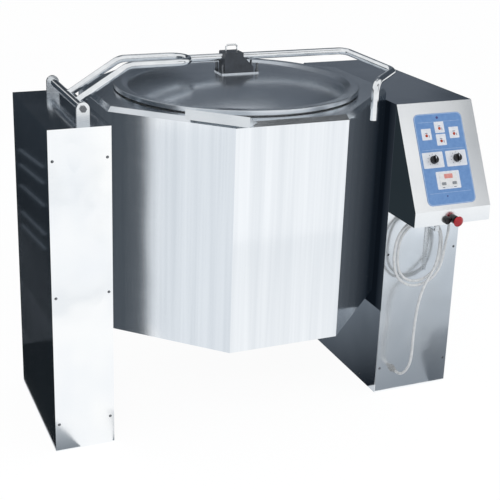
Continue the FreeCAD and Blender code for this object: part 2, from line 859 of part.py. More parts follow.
def steam_jacket():
    """The pressure shell round the vessel, with the steam generator below it."""
    jacket = new_body("steam_jacket", "kettle_middle")
    half = new_sketch(jacket, "jacket_section", "XZ_Plane")
    outer = "jacket_dish + jacket_sheet"
    inside = "jacket_radius - jacket_sheet"
    sump = "generator_radius - jacket_sheet"
    outline(half, [("0", "generator_floor"), ("generator_radius", "generator_floor"),
                   ("generator_radius", dish_level(outer, "generator_radius")),
                   ("jacket_radius", dish_level(outer, "jacket_radius")),
                   ("jacket_radius", "jacket_top"),
                   ("vessel_outside + seat_gap", "jacket_top"),
                   ("vessel_outside + seat_gap", "jacket_top - jacket_sheet"),
                   (inside, "jacket_top - jacket_sheet"),
                   (inside, dish_level("jacket_dish", inside)),
                   (sump, dish_level("jacket_dish", sump)),
                   (sump, "generator_floor + jacket_sheet"),
                   ("0", "generator_floor + jacket_sheet")],
            {2: (outer, 1), 8: ("jacket_dish", -1)})
    turned(jacket, "jacket_turned", half)
    return keep(jacket, "steam_jacket")


def heating_elements():
    """Three hairpin heaters standing on the generator's floor."""
    low = size("generator_floor + jacket_sheet")
    high = low + size("heater_stand")
    near = size("kettle_middle - heater_reach + heater_foot_shift")
    far = size("kettle_middle + heater_reach")
    half = size("heater_spread / 2")
    bend = size("heater_bend")
    hairpins = []
    for middle in (size("-heater_pitch"), 0, size("heater_pitch")):
        points = [vector(near, middle - half, low), vector(near, middle - half, high),
                  vector(far, middle - half, high), vector(far, middle + half, high),
                  vector(near, middle + half, high), vector(near, middle + half, low)]
        route = bent_route(points, [bend, half, half, bend])
        hairpins.append(tube_along(route, size("heater_rod_radius")))
    return keep(shaped("heater_set", Part.makeCompound(hairpins)), "heating_elements")


def safety_valve():
    """The jacket's safety valve on the generator's side."""
    x = "kettle_middle"
    y = "generator_radius"
    z = "generator_floor + generator_depth * 0.42"
    stem = y + " + valve_stand"
    foot = z + " - valve_length / 3"
    neck = rod("valve_neck", "valve_neck_radius", "valve_stand - valve_radius + 4",
               (x, y + " - 1", z), back_turn)
    trimmed = rod("valve_socket", "generator_radius + seat_gap", "generator_depth",
                  (x, "0", "generator_floor"))
    body = rod("valve_body", "valve_radius", "valve_length", (x, stem, foot))
    bonnet = cone("valve_bonnet_form", "valve_radius", "valve_radius * 0.6", "valve_bonnet",
                  (x, stem, foot + " + valve_length"))
    whole = joined("valve_whole", [neck, body, bonnet])
    return keep(without("valve_fitted", whole, trimmed), "safety_valve")


def trunnion(name, side, outward, length):
    """A flanged stub shaft, its flange flat against the casing's inside."""
    turn = left_turn if outward < 0 else right_turn
    shaft = new_body(name, side, "0", "trunnion_height", turn)
    half = new_sketch(shaft, name + "_section", "XZ_Plane")
    outline(half, [("0", "-trunnion_flange"),
                   ("trunnion_flange_radius", "-trunnion_flange"),
                   ("trunnion_flange_radius", "0"),
                   ("trunnion_radius", "0"),
                   ("trunnion_radius", length + " - 3"),
                   ("trunnion_radius - 3", length),
                   ("0", length)])
    turned(shaft, name + "_turned", half)
    return keep(shaft, name)


def trunnion_bracket(name, outward):
    """A welded box between the trunnion's flange and the jacket's round wall."""
    deep = "casing_half_width - casing_sheet - trunnion_flange"
    arc = "sqrt(jacket_radius ^ 2 - bracket_half ^ 2)"
    length = "(%s - %s)" % (deep, arc)
    low = "kettle_middle - (%s)" % deep if outward < 0 else "kettle_middle + " + arc
    block = box(name + "_block", (length, "bracket_half * 2", "bracket_half * 2"),
                (low, "-bracket_half", "trunnion_height - bracket_half"))
    room_low = low + " + bracket_wall" if outward < 0 else low
    room = box(name + "_room", (length + " - bracket_wall", "(bracket_half - bracket_wall) * 2",
                                "(bracket_half - bracket_wall) * 2"),
               (room_low, "bracket_wall - bracket_half",
                "trunnion_height - bracket_half + bracket_wall"))
    wall = rod(name + "_saddle", "jacket_radius + seat_gap", "bracket_half * 2 + 2",
               ("kettle_middle", "0", "trunnion_height - bracket_half - 1"))
    hollow = without(name + "_hollow", block, room)
    return keep(without(name + "_fitted", hollow, wall), name)


def pouring_lip():
    """A bent sheet along the front left side that rises from the deck and folds down."""
    turn = FreeCAD.Rotation(vector(0, 0, 1), -45)
    lip = new_body("pouring_lip", "kettle_middle", "0", "0", turn)
    ramp = new_sketch(lip, "lip_profile", "YZ_Plane", lift="lip_shift - lip_width / 2")
    foot = "deck_height + lip_rise - lip_hem"
    inside = "lip_sheet - lip_reach"
    outline(ramp, [("-lip_start", "deck_height"), ("-lip_reach", "deck_height + lip_rise"),
                   ("-lip_reach", foot), (inside, foot),
                   (inside, "deck_height + lip_rise - lip_sheet * 1.6"),
                   ("-lip_start - lip_sheet * 2.4", "deck_height")])
    pad(lip, "lip_ramp", ramp, "lip_width")
    for end, lift in (("near", "lip_shift - lip_width / 2"),
                      ("far", "lip_shift + lip_width / 2 - lip_sheet")):
        cheek = new_sketch(lip, "lip_cheek_" + end, "YZ_Plane", lift=lift)
        outline(cheek, [("-lip_start - lip_sheet", "deck_height"),
                        ("-lip_reach + 1", "deck_height + lip_rise - lip_sheet"),
                        ("-lip_reach + 1", "deck_height")])
        pad(lip, "lip_side_" + end, cheek, "lip_sheet")
    return keep(lip, "pouring_lip")


# Lid and its arm

def lid_shell():
    """The round lid: skirt, flat rim, step down into the vessel's mouth and dome."""
    lid = new_body("lid_shell", "kettle_middle")
    half = new_sketch(lid, "lid_section", "XZ_Plane")
    step = "lid_radius - lid_flat - lid_step_run"
    inner_dome = "lid_dome - lid_sheet"
    outline(half, [("0", "crown_top"), ("0", "crown_top - lid_sheet"),
                   ("lid_crown_radius", "crown_top - lid_sheet"),
                   (step, "lid_under - lid_step_drop"),
                   ("lid_radius - lid_flat", "lid_under"),
                   ("lid_radius - lid_sheet", "lid_under"),
                   ("lid_radius - lid_sheet", "lid_top - lid_skirt"),
                   ("lid_radius", "lid_top - lid_skirt"),
                   ("lid_radius", "lid_top"),
                   ("lid_radius - lid_flat", "lid_top"),
                   (step, "lid_top - lid_step_drop"),
                   ("lid_crown_radius", "crown_top")],
            {2: (inner_dome, -1), 10: ("lid_dome", 1)})
    turned(lid, "lid_turned", half)
    rounded(lid, "lid_rim_edge", "lid_sheet * 0.6", is_lid_edge)
    return keep(lid, "lid_shell")


def is_lid_edge(edge):
    box_of = edge.BoundBox
    high = abs(box_of.ZMax - size("lid_top")) < 0.01 and box_of.ZLength < 0.01
    return high and box_of.XLength > size("lid_radius * 2 - 1")


def lid_seal():
    """The soft ring under the lid's flat, just above the vessel's rim."""
    seal = new_body("lid_seal", "kettle_middle")
    half = new_sketch(seal, "seal_section", "XZ_Plane")
    rectangle(half, "seal_radius - seal_width / 2", "rim_top + seat_gap",
              "seal_radius + seal_width / 2", "lid_under")
    turned(seal, "seal_turned", half)
    return keep(seal, "lid_seal")


def lid_foot():
    """The plate on the lid's crown that the arm is bolted to."""
    foot = new_body("lid_foot", "kettle_middle")
    plan = new_sketch(foot, "foot_plan", "XY_Plane", lift="crown_top")
    rectangle(plan, "-foot_length / 2", "-foot_depth / 2", "foot_length / 2", "foot_depth / 2")
    pad(foot, "foot_plate", plan, "foot_thickness")
    rounded(foot, "foot_corners", "6", is_upright)
    return keep(foot, "lid_foot")


def lid_studs():
    """Four studs with nuts at the corners of the foot."""
    pieces = []
    for x_side in ("-", "+"):
        for y_side in ("-", ""):
            x = "kettle_middle %s (foot_length / 2 - 6)" % x_side
            y = "%s (foot_depth / 2 - 9)" % y_side
            spot = (x, y, "crown_top + foot_thickness")
            name = "lid_stud_%d" % len(pieces)
            bolt = rod(name + "_shank", "stud_radius", "stud_length", spot)
            nut = doc.addObject("Part::Prism", name + "_nut")
            nut.Polygon = 6
            bind(nut, "Circumradius", "stud_radius * 1.7")
            bind(nut, "Height", "stud_radius * 1.6")
            place(nut, *spot)
            pieces.append(joined(name, [bolt, nut]))
    return keep(group("lid_stud_set", pieces), "lid_studs")


def clamp_block():
    """The block on the foot that grips the arm's bar, sloped on its right side."""
    block = new_body("lid_clamp_block", "kettle_middle", "block_depth / 2")
    face = new_sketch(block, "block_face", "XZ_Plane")
    low = "crown_top + foot_thickness"
    outline(face, [("block_left", low), ("block_toe", low), ("block_toe", low + " + block_toe_height"),
                   ("block_right", low + " + block_height - block_shoulder"),
                   ("block_right", low + " + block_height"),
                   ("block_left", low + " + block_height")])
    pad(block, "block_body", face, "block_depth")
    bore = new_sketch(block, "block_bore", "YZ_Plane", lift="block_toe + 1")
    ring(bore, "-block_depth / 2", "arm_height", "tube_radius + 0.1")
    pocket(block, "block_bored", bore, "block_toe - block_left + 2")
    rounded(block, "block_edges", "3", is_block_edge)
    return keep(block, "lid_clamp_block")


def is_block_edge(edge):
    box_of = edge.BoundBox
    top = size("crown_top + foot_thickness + block_height")
    return box_of.YLength > size("block_depth - 1") and box_of.ZMin > top - 1


def wire_handle():
    """The upright wire handle on the block."""
    low = size("crown_top + foot_thickness + block_height")
    high = low + size("bail_height")
    middle = size("kettle_middle + (block_left + block_right) / 2")
    half = size("bail_width / 2")
    points = [vector(middle - half, 0, low), vector(middle - half, 0, high),
              vector(middle + half, 0, high), vector(middle + half, 0, low)]
    wire = tube_along(bent_route(points, [size("bail_bend")] * 2), size("bail_wire"))
    return keep(shaped("bail_form", wire), "lid_wire_handle")


def hinge_shaft():
    """The shaft between the two lugs, bored at both ends for the pins."""
    front = "lug_thickness + seat_gap - hinge_front"
    length = "hinge_front + hinge_rear - (lug_thickness + seat_gap) * 2"
    spot = ("hinge_x", front, "hinge_height")
    shaft = rod("shaft_bar", "shaft_radius", length, spot, back_turn)
    near = rod("shaft_bore_near", "hinge_pin_radius + running_gap", "hinge_pin_depth", spot,
               back_turn)
    far = rod("shaft_bore_far", "hinge_pin_radius + running_gap", "hinge_pin_depth",
              ("hinge_x", front + " + " + length, "hinge_height"), front_turn)
    return keep(without("shaft_bored", shaft, joined("shaft_bores", [near, far])), "hinge_shaft")


def hinge_lug(name, front):
    """An upright plate with a round top, welded on the left pillar's top."""
    lug = new_body(name, "hinge_x", front + " + lug_thickness", "pillar_height")
    face = new_sketch(lug, name + "_face", "XZ_Plane")
    outline(face, [("-lug_width / 2", "0"), ("lug_width / 2", "0"), ("lug_width / 2", "hinge_rise"),
                   ("-lug_width / 2", "hinge_rise")], {2: ("lug_width / 2 + 0.001", 1)})
    ring(face, "0", "hinge_rise", "hinge_pin_radius + running_gap")
    pad(lug, name + "_plate", face, "lug_thickness")
    return keep(lug, name)


def hinge_pins():
    """Two hexagon-headed pins through the lugs into the shaft's ends."""
    reach = "lug_thickness + hinge_pin_depth - 2"
    pieces = []
    for front, turn in (("-hinge_front", front_turn), ("hinge_rear", back_turn)):
        name = "hinge_pin_%d" % len(pieces)
        shank = rod(name + "_shank", "hinge_pin_radius", reach, ("hinge_x", front, "hinge_height"),
                    turn * FreeCAD.Rotation(vector(1, 0, 0), 180))
        head = doc.addObject("Part::Prism", name + "_head")
        head.Polygon = 6
        bind(head, "Circumradius", "hinge_pin_radius * 1.7")
        bind(head, "Height", "hinge_pin_radius")
        place(head, "hinge_x", front, "hinge_height", turn)
        pieces.append(joined(name, [shank, head]))
    return keep(group("hinge_pin_set", pieces), "hinge_pins")


def loop_route():
    """The hairpin loop: up from the shaft, level over the lid, round and back."""
    hinge = size("hinge_x")
    base = size("hinge_height")
    level = size("arm_height")
    knee = size("loop_knee")
    end = size("loop_end")
    half = size("loop_spacing / 2")
    points = [vector(hinge, -half, base), vector(knee, -half, level), vector(end, -half, level),
              vector(end, half, level), vector(knee, half, level), vector(hinge, half, base)]
    knee_bend = size("knee_radius")
    return bent_route(points, [knee_bend, half, half, knee_bend])


def lid_loop():
    """The two-legged tube from the hinge shaft, its legs coped round the shaft."""
    tube = tube_along(loop_route(), size("tube_radius"))
    front = vector(size("hinge_x"), -size("hinge_front"), size("hinge_height"))
    length = size("hinge_front + hinge_rear")
    shaft = Part.makeCylinder(size("shaft_radius"), length, front, vector(0, 1, 0))
    stubs = [solid for solid in tube.cut(shaft).Solids if solid.BoundBox.XMax > size("loop_knee")]
    return keep(shaped("loop_form", stubs[0]), "lid_loop")


def lid_bar():
    """The long tube: through the block, round the kettle's front right and down to the grip."""
    level = size("arm_height")
    shoulder = size("shoulder_height")
    grip = vector(size("grip_side"), size("grip_front"), shoulder)
    points = [vector(size("loop_end"), 0, level), vector(size("bar_end"), 0, level),
              vector(size("shoulder_side"), size("shoulder_front"), shoulder), grip,
              vector(grip.x, grip.y, size("grip_bottom"))]
    bend = size("bend_radius")
    tube = tube_along(bent_route(points, [bend, bend, bend]), size("tube_radius"))
    loop = tube_along(loop_route(), size("tube_radius"))
    longest = max(tube.cut(loop).Solids, key=lambda solid: solid.Volume)
    return keep(shaped("bar_form", longest), "lid_bar")


# Control console

def face_point(across, down, lift="0"):
    """A point of the console's sloped face, from its top edge's middle."""
    x = "console_middle + (%s)" % across
    y = "-pillar_front - ((%s) * console_reach + (%s) * face_drop) / face_length" % (down, lift)
    z = "pillar_height - ((%s) * face_drop - (%s) * console_reach) / face_length" % (down, lift)
    return x, y, z


def face_turn():
    """Local +Z out of the sloped face and local +Y up along it."""
    return FreeCAD.Rotation(vector(1, 0, 0), size("atan(face_drop / console_reach)"))


def console_housing():
    """The wedge-shaped folded box on the right pillar's front."""
    housing = new_body("console_housing")
    side = new_sketch(housing, "console_side", "YZ_Plane", lift="right_inner")
    edge = "pillar_height - face_drop"
    outline(side, [("-pillar_front", "console_bottom"), ("-pillar_front", "pillar_height"),
                   ("console_front", edge), ("console_front", "console_bottom")])
    pad(housing, "console_block", side, "right_pillar_width")
    room = new_sketch(housing, "console_room", "YZ_Plane", lift="right_side - console_sheet")
    slip = "console_sheet * face_length / console_reach"
    back = "1 - pillar_front"
    outline(room, [(back, "console_bottom + console_sheet"),
                   (back, "pillar_height + face_drop / console_reach - " + slip),
                   ("console_front + console_sheet",
                    edge + " + console_sheet * face_drop / console_reach - " + slip),
                   ("console_front + console_sheet", "console_bottom + console_sheet")])
    pocket(housing, "console_hollow", room, "right_pillar_width - console_sheet * 2")
    return keep(housing, "console_housing")


def control_panel():
    """The thin overlay with round corners on the sloped face."""
    panel = new_body("control_panel", *face_point("0", "panel_down"), turn=face_turn())
    face = new_sketch(panel, "panel_face", "XY_Plane")
    rectangle(face, "-panel_width / 2", "-panel_length / 2", "panel_width / 2", "panel_length / 2")
    pad(panel, "panel_sheet", face, "panel_thickness")
    rounded(panel, "panel_corners", "panel_corner", is_across)
    return keep(panel, "control_panel")


def is_across(edge):
    return abs(edge.Length - size("panel_thickness")) < 0.01


def lamp_lenses():
    pieces = []
    for across, down in (("0", "lamp_down - lamp_rise"), ("-lamp_spread", "lamp_down"),
                         ("lamp_spread", "lamp_down"), ("0", "lamp_down + lamp_rise")):
        spot = face_point(across, down, "panel_thickness")
        pieces.append(cone("lens_%d" % len(pieces), "lamp_radius", "lamp_radius * 0.6", "2", spot,
                           face_turn()))
    return keep(group("lens_set", pieces), "lamp_lenses")


def display_window():
    window = new_body("display_window", *face_point("0", "display_down", "panel_thickness"),
                      turn=face_turn())
    face = new_sketch(window, "window_face", "XY_Plane")
    rectangle(face, "-display_width / 2", "-display_length / 2", "display_width / 2",
              "display_length / 2")
    pad(window, "window_plate", face, "1.5")
    return keep(window, "display_window")


def knob_collars():
    """The two fixed bushes that the knobs turn in."""
    pieces = []
    for across in ("-knob_spread", "knob_spread"):
        spot = face_point(across, "knob_down", "panel_thickness")
        name = "collar_%d" % len(pieces)
        bush = rod(name + "_bush", "knob_radius - 3", "knob_collar", spot, face_turn())
        bore = rod(name + "_bore", "spindle_radius + running_gap", "knob_collar + 1", spot,
                   face_turn())
        pieces.append(without(name, bush, bore))
    return keep(group("collar_set", pieces), "knob_collars")


def selector_knob(name, across):
    """A round knob with a raised pointer bar and a spindle into its bush."""
    lift = "panel_thickness + knob_collar + seat_gap"
    knob = new_body(name, *face_point(across, "knob_down", lift), turn=face_turn())
    half = new_sketch(knob, name + "_section", "XZ_Plane")
    outline(half, [("0", "-knob_collar"), ("spindle_radius", "-knob_collar"),
                   ("spindle_radius", "0"), ("knob_radius", "0"),
                   ("knob_radius - 1.5", "knob_height * 0.7"), ("0", "knob_height * 0.7")])
    turned(knob, name + "_turned", half)
    bar = new_sketch(knob, name + "_pointer", "XY_Plane", lift="knob_height * 0.7 - 1")
    rectangle(bar, "-3", "-knob_radius + 1.5", "3", "knob_radius - 1.5")
    pad(knob, name + "_grip", bar, "knob_height * 0.3 + 1")
    return keep(knob, name)


def stop_button():
    """The stop button: a fixed black body and a mushroom head that presses in."""
    x = "console_middle + stop_side"
    z = "console_bottom + stop_rise"
    body = new_body("stop_button_body", x, "console_front", z, front_turn)
    half = new_sketch(body, "stop_body_section", "XZ_Plane")
    bore = "stop_stem_radius + running_gap"
    bore_floor = "stop_body_length - stop_bore_depth"
    outline(half, [("0", "0"), ("stop_body_radius", "0"),
                   ("stop_body_radius", "stop_body_length - 2"),
                   ("stop_body_radius - 2", "stop_body_length"), (bore, "stop_body_length"),
                   (bore, bore_floor), ("0", bore_floor)])
    turned(body, "stop_body_turned", half)
    keep(body, "stop_button_body")
    reach = "stop_body_length + stop_travel + stop_free_gap"
    head = new_body("stop_button_head", x, "console_front", z, front_turn)
    half = new_sketch(head, "stop_head_section", "XZ_Plane")
    stem_end = reach + " - stop_stem_length"
    top = reach + " + stop_head_length"
    outline(half, [("0", stem_end), ("stop_stem_radius", stem_end),
                   ("stop_stem_radius", reach), ("stop_head_radius - 5", reach),
                   ("stop_head_radius", top + " - stop_dome"), ("0", top)],
            {4: ("(stop_head_radius ^ 2 + stop_dome ^ 2) / (stop_dome * 2)", 1)})
    turned(head, "stop_head_turned", half)
    return keep(head, "stop_button_head")


def alarm_buzzer():
    """The round black sounder beside the stop button, with a sunk front."""
    buzzer = new_body("alarm_buzzer", "console_middle + buzzer_side", "console_front",
                      "console_bottom + stop_rise", front_turn)
    half = new_sketch(buzzer, "buzzer_section", "XZ_Plane")
    outline(half, [("0", "0"), ("buzzer_radius", "0"),
                   ("buzzer_radius", "buzzer_length - buzzer_rim"),
                   ("buzzer_radius - buzzer_rim", "buzzer_length"),
                   ("buzzer_radius - buzzer_rim * 2", "buzzer_length"),
                   ("buzzer_radius - buzzer_rim * 2", "buzzer_length - buzzer_rim"),
                   ("0", "buzzer_length - buzzer_rim")])
    turned(buzzer, "buzzer_turned", half)
    return keep(buzzer, "alarm_buzzer")


# Cord, its glands and its hook

def gland(name, x, y, z, turn):
    """A tapered strain relief with a hexagon foot and a bore for the cord's end."""
    foot = doc.addObject("Part::Prism", name + "_foot")
    foot.Polygon = 6
    bind(foot, "Circumradius", "gland_radius * 1.3")
    bind(foot, "Height", "gland_length * 0.25")
    place(foot, x, y, z, turn)
    taper = cone(name + "_taper", "gland_radius", "cord_radius + 1.5", "gland_length", (x, y, z),
                 turn)
    return keep(joined(name + "_whole", [foot, taper]), name)


def cord_hook():
    """A bent strap on the pillar's cover that carries the coiled cord."""
    strap = new_body("cord_hook")
    side = new_sketch(strap, "hook_profile", "YZ_Plane", lift="hook_side - hook_width / 2")
    reach = "sqrt(coil_bend ^ 2 - (hook_side - coil_side) ^ 2)"
    slope = "coil_thickness * coil_bend / (%s)" % reach
    top = "(coil_middle + coil_straight + %s - %s - 7)" % (reach, slope)
    outline(side, [("-pillar_front", "hook_foot"), ("-pillar_front", top), ("hook_tip", top),
                   ("hook_tip", top + " + 13"), ("hook_tip - hook_sheet", top + " + 13"),
                   ("hook_tip - hook_sheet", top + " - hook_sheet"),
                   ("-pillar_front - hook_sheet", top + " - hook_sheet"),
                   ("-pillar_front - hook_sheet", "hook_foot")])
    pad(strap, "hook_strap", side, "hook_width")
    return keep(strap, "cord_hook")


def cord_coil():
    """The hanging coil as one ring of its outer shape."""
    x = size("coil_side")
    y = size("coil_front")
    low = size("coil_middle")
    high = low + size("coil_straight")
    bend = size("coil_bend")
    edges = [Part.LineSegment(vector(x + bend, y, low), vector(x + bend, y, high)).toShape(),
             Part.Arc(vector(x + bend, y, high), vector(x, y, high + bend),
                      vector(x - bend, y, high)).toShape(),
             Part.LineSegment(vector(x - bend, y, high), vector(x - bend, y, low)).toShape(),
             Part.Arc(vector(x - bend, y, low), vector(x, y, low - bend),
                      vector(x + bend, y, low)).toShape()]
    ring_of_cord = tube_along(Part.Wire(edges), size("coil_thickness"))
    return keep(shaped("coil_form", ring_of_cord), "cord_coil")


def cord_run(name, points):
    """One free stretch of the cord, each arc as large as its two runs allow."""
    radii = []
    for before, corner, after in zip(points, points[1:], points[2:]):
        shorter = min((before - corner).Length, (after - corner).Length)
        turn = math.pi - (before - corner).getAngle(after - corner)
        radii.append(0.45 * shorter / math.tan(turn / 2))
    route = bent_route(points, radii)
    return keep(shaped(name + "_form", tube_along(route, size("cord_radius"))), name)


def cord_lead():
    """From the gland under the console straight down into the coil's right side."""
    start = vector(size("lead_x"), size("lead_y"), size("console_bottom - gland_length"))
    points = [start, start + vector(0, 0, -40), start + vector(2, 12, -75),
              start + vector(3, 18, -98)]
    return cord_run("cord_lead", points)


def cord_tail():
    """From the coil's right side down in front of the pillar and back into its gland."""
    corner = vector(size("tail_x"), size("-pillar_front"), 0)
    steps = [(120, -37, 474), (97, -44, 436), (65, -56, 402), (40, -70, 358), (26, -81, 308),
             (19, -87, 254), (18, -89, 200), (17, -88, 152), (12, -76, 112)]
    end = corner + vector(0, -size("gland_length"), size("tail_height"))
    points = [corner + vector(*step) for step in steps] + [end + vector(0, -28, 0), end]
    return cord_run("cord_tail", points)


# The machine

def build():
    fill_sheet()
    pillar_shell("left_pillar_shell", "left_side", "left_inner", "left_pillar_depth", "left_inner",
                 False)
    pillar_cover("left_pillar_cover", "left_side", "left_inner")
    cover_screws("left_cover_screws", "left_side", "left_inner")
    base_plate("left_base_plate", "left_side", "left_inner", "left_pillar_depth")
    bearing("left_bearing", "left_inner - pillar_sheet", -1)
    bearing_bolts("left_bearing_bolts", "left_inner - pillar_sheet", -1)
    hinge_lug("hinge_lug_front", "-hinge_front")
    hinge_lug("hinge_lug_rear", "hinge_rear - lug_thickness")
    hinge_pins()

    pillar_shell("right_pillar_shell", "right_inner", "right_side", "right_pillar_depth",
                 "right_inner", True)
    pillar_cover("right_pillar_cover", "right_inner", "right_side")
    cover_screws("right_cover_screws", "right_inner", "right_side")
    side_screws()
    base_plate("right_base_plate", "right_inner", "right_side", "right_pillar_depth")
    bearing("right_bearing", "right_inner + pillar_sheet", 1)
    bearing_bolts("right_bearing_bolts", "right_inner + pillar_sheet", 1)
    tilt_gearbox()
    tilt_motor()

    console_housing()
    control_panel()
    lamp_lenses()
    display_window()
    knob_collars()
    selector_knob("left_selector_knob", "-knob_spread")
    selector_knob("right_selector_knob", "knob_spread")
    stop_button()
    alarm_buzzer()

    kettle_casing()
    kettle_deck()
    kettle_floor()
    floor_screws()
    inner_vessel()
    steam_jacket()
    heating_elements()
    safety_valve()
    near = "casing_sheet + side_gap + pillar_sheet + bearing_length"
    trunnion("left_trunnion", "kettle_middle - casing_half_width + casing_sheet", -1, near + " + 8")
    trunnion("right_trunnion", "kettle_middle + casing_half_width - casing_sheet", 1,
             near + " + seat_gap + gearbox_width")
    trunnion_bracket("left_trunnion_bracket", -1)
    trunnion_bracket("right_trunnion_bracket", 1)
    pouring_lip()

    lid_shell()
    lid_seal()
    lid_foot()
    lid_studs()
    clamp_block()
    wire_handle()
    hinge_shaft()
    lid_loop()
    lid_bar()

    under = FreeCAD.Rotation(vector(1, 0, 0), 180)
    gland("console_gland", "lead_x", "lead_y", "console_bottom", under)
    gland("pillar_gland", "tail_x", "-pillar_front", "tail_height", front_turn)
    cord_hook()
    cord_coil()
    cord_lead()
    cord_tail()
    doc.recompute()


def export():
    """Check every step and every sub-part, then write one file for each node."""
    for thing in doc.Objects:
        if "Invalid" in thing.State or "Error" in thing.State:
            raise ValueError(thing.Name + " failed: " + str(thing.State))
    os.makedirs("parts", exist_ok=True)
    for node in nodes:
        if node.Shape.isNull() or not node.Shape.isValid():
            raise ValueError(node.Label + " has no valid shape")
        node.Shape.exportStep("parts/" + node.Label + ".step")
    print(len(nodes), "sub-parts written")


build()
export()
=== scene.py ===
import math

import bmesh
import bpy
from mathutils import Matrix, Vector


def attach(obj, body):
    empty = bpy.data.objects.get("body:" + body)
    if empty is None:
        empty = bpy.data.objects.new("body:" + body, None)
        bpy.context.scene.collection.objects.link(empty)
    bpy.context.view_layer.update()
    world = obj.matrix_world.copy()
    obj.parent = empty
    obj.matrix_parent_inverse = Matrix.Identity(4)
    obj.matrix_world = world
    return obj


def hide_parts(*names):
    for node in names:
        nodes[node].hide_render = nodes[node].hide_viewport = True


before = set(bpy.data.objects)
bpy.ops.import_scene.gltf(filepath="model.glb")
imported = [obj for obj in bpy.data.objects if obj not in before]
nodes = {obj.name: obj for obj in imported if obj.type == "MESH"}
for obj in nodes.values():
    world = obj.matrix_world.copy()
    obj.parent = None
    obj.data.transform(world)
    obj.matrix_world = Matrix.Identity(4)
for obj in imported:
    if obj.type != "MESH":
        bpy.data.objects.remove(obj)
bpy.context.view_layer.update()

# Pillars

# Two tall boxes folded from stainless sheet, polished and then ground with a fine belt.
# The grain runs level round them, so what they mirror is drawn out up and down. Their
# front covers are screwed on, and each box stands on a thick base plate.

# A Mix node of colours takes its share in socket 0 and its colours in sockets 6 and 7, and
# gives the mixed colour in output 2. Their names are also those of its other sockets.
mix_share, first_colour, second_colour, mixed_colour = 0, 6, 7, 2


def linear(code):
    """An sRGB hex colour as the linear one that a shader takes."""
    parts = [int(code[i:i + 2], 16) / 255 for i in (1, 3, 5)]
    curve = [part / 12.92 if part <= 0.04045 else ((part + 0.055) / 1.055) ** 2.4
             for part in parts]
    return (*curve, 1)


def add_node(tree, kind, settings=None, links=None):
    """A node of a kind, with its settings and what is linked into it."""
    node = tree.nodes.new(kind)
    for name, value in (settings or {}).items():
        if isinstance(name, int) or name in node.inputs:
            node.inputs[name].default_value = value
        else:
            setattr(node, name, value)
    for name, socket in (links or {}).items():
        tree.links.new(socket, node.inputs[name])
    return node


def new_material(name):
    """A node material without any nodes yet, and its tree."""
    material = bpy.data.materials.new(name)
    material.use_nodes = True
    material.node_tree.nodes.clear()
    return material, material.node_tree


def grain(tree, spacing, detail=2.0):
    """A pattern from 0 to 1 over the object, its marks spacing millimetres apart along x, y
    and z. The noise hardly leaves its middle, from 0.3 to 0.7, so that is stretched."""
    place = add_node(tree, "ShaderNodeTexCoord")
    sized = add_node(tree, "ShaderNodeMapping", {"Scale": [1000 / step for step in spacing]},
                     {"Vector": place.outputs["Object"]})
    noise = add_node(tree, "ShaderNodeTexNoise",
                     {"Scale": 1.0, "Detail": detail, "Roughness": 0.6},
                     {"Vector": sized.outputs["Vector"]})
    return add_node(tree, "ShaderNodeMapRange", {"From Min": 0.3, "From Max": 0.7},
                    {"Value": noise.outputs["Fac"]}).outputs["Result"]


def surfaced(material, dark, light, cloud, roughness, wear, settings, links):
    """Ends a material. Its colour goes from dark to light over one pattern, and its
    roughness from the lower to the higher value over another."""
    tree = material.node_tree
    colour = add_node(tree, "ShaderNodeMix",
                      {"data_type": "RGBA", first_colour: linear(dark),
                       second_colour: linear(light)},
                      {mix_share: cloud})
    rough = add_node(tree, "ShaderNodeMapRange",
                     {"To Min": roughness[0], "To Max": roughness[1]}, {"Value": wear})
    shader = add_node(tree, "ShaderNodeBsdfPrincipled", settings,
                      {"Base Color": colour.outputs[mixed_colour],
                       "Roughness": rough.outputs["Result"], **links})
    add_node(tree, "ShaderNodeOutputMaterial", {}, {"Surface": shader.outputs["BSDF"]})
    return material


def dress(material, *names):
    """Gives CAD nodes their material."""
    for name in names:
        nodes[name].data.materials.clear()
        nodes[name].data.materials.append(material)


# Two thousandths of a millimetre. Every bump distance here is in metres.
scratch_depth = 0.000002


def ground_stainless(name, dark, light, roughness, buckle=0.0, patches=(240, 240, 320)):
    """Belt-ground stainless sheet: level scratches drawn 2 mm apart so that they show, a
    mirror that is softer upwards, and the slow buckles of a thin sheet, 120 to 170 mm across
    and buckle millimetres deep. Its tone drifts from patch to patch, patches millimetres
    apart."""
    material, tree = new_material(name)
    scratch = grain(tree, (60, 60, 2), 3)
    waves = add_node(tree, "ShaderNodeBump", {"Distance": buckle / 1000},
                     {"Height": grain(tree, (120, 120, 170), 1)})
    belt = add_node(tree, "ShaderNodeBump", {"Distance": scratch_depth},
                    {"Height": scratch, "Normal": waves.outputs["Normal"]})
    tangent = add_node(tree, "ShaderNodeTangent", {"direction_type": "RADIAL", "axis": "Z"})
    return surfaced(material, dark, light, grain(tree, patches),
                    (roughness * 0.9, roughness * 1.1), scratch,
                    {"Metallic": 1.0, "Anisotropic": 0.6},
                    {"Normal": belt.outputs["Normal"], "Tangent": tangent.outputs["Tangent"]})


# The shell's base is darker than the cover's: partly the polished finish's own tone, partly
# painted shade that darkens the pillars' sides and tops.
shell_sheet = ground_stainless("polished_stainless_shell_painted_shade", "#b9c0c8", "#cdd3da", 0.14, 0.2)
dress(shell_sheet, "left_pillar_shell", "right_pillar_shell")
cover_sheet = ground_stainless("ground_stainless_cover", "#f0f4f8", "#fdfefe", 0.17, 2.2)
dress(cover_sheet, "left_pillar_cover", "right_pillar_cover")
base_steel = ground_stainless("pickled_base_plate", "#8a8c8e", "#a3a5a7", 0.45)
dress(base_steel, "left_base_plate", "right_base_plate")

# Fasteners

# Stainless screws and bolts with turned heads. They are plain tumbled steel, darker
# than the bright sheet round them.


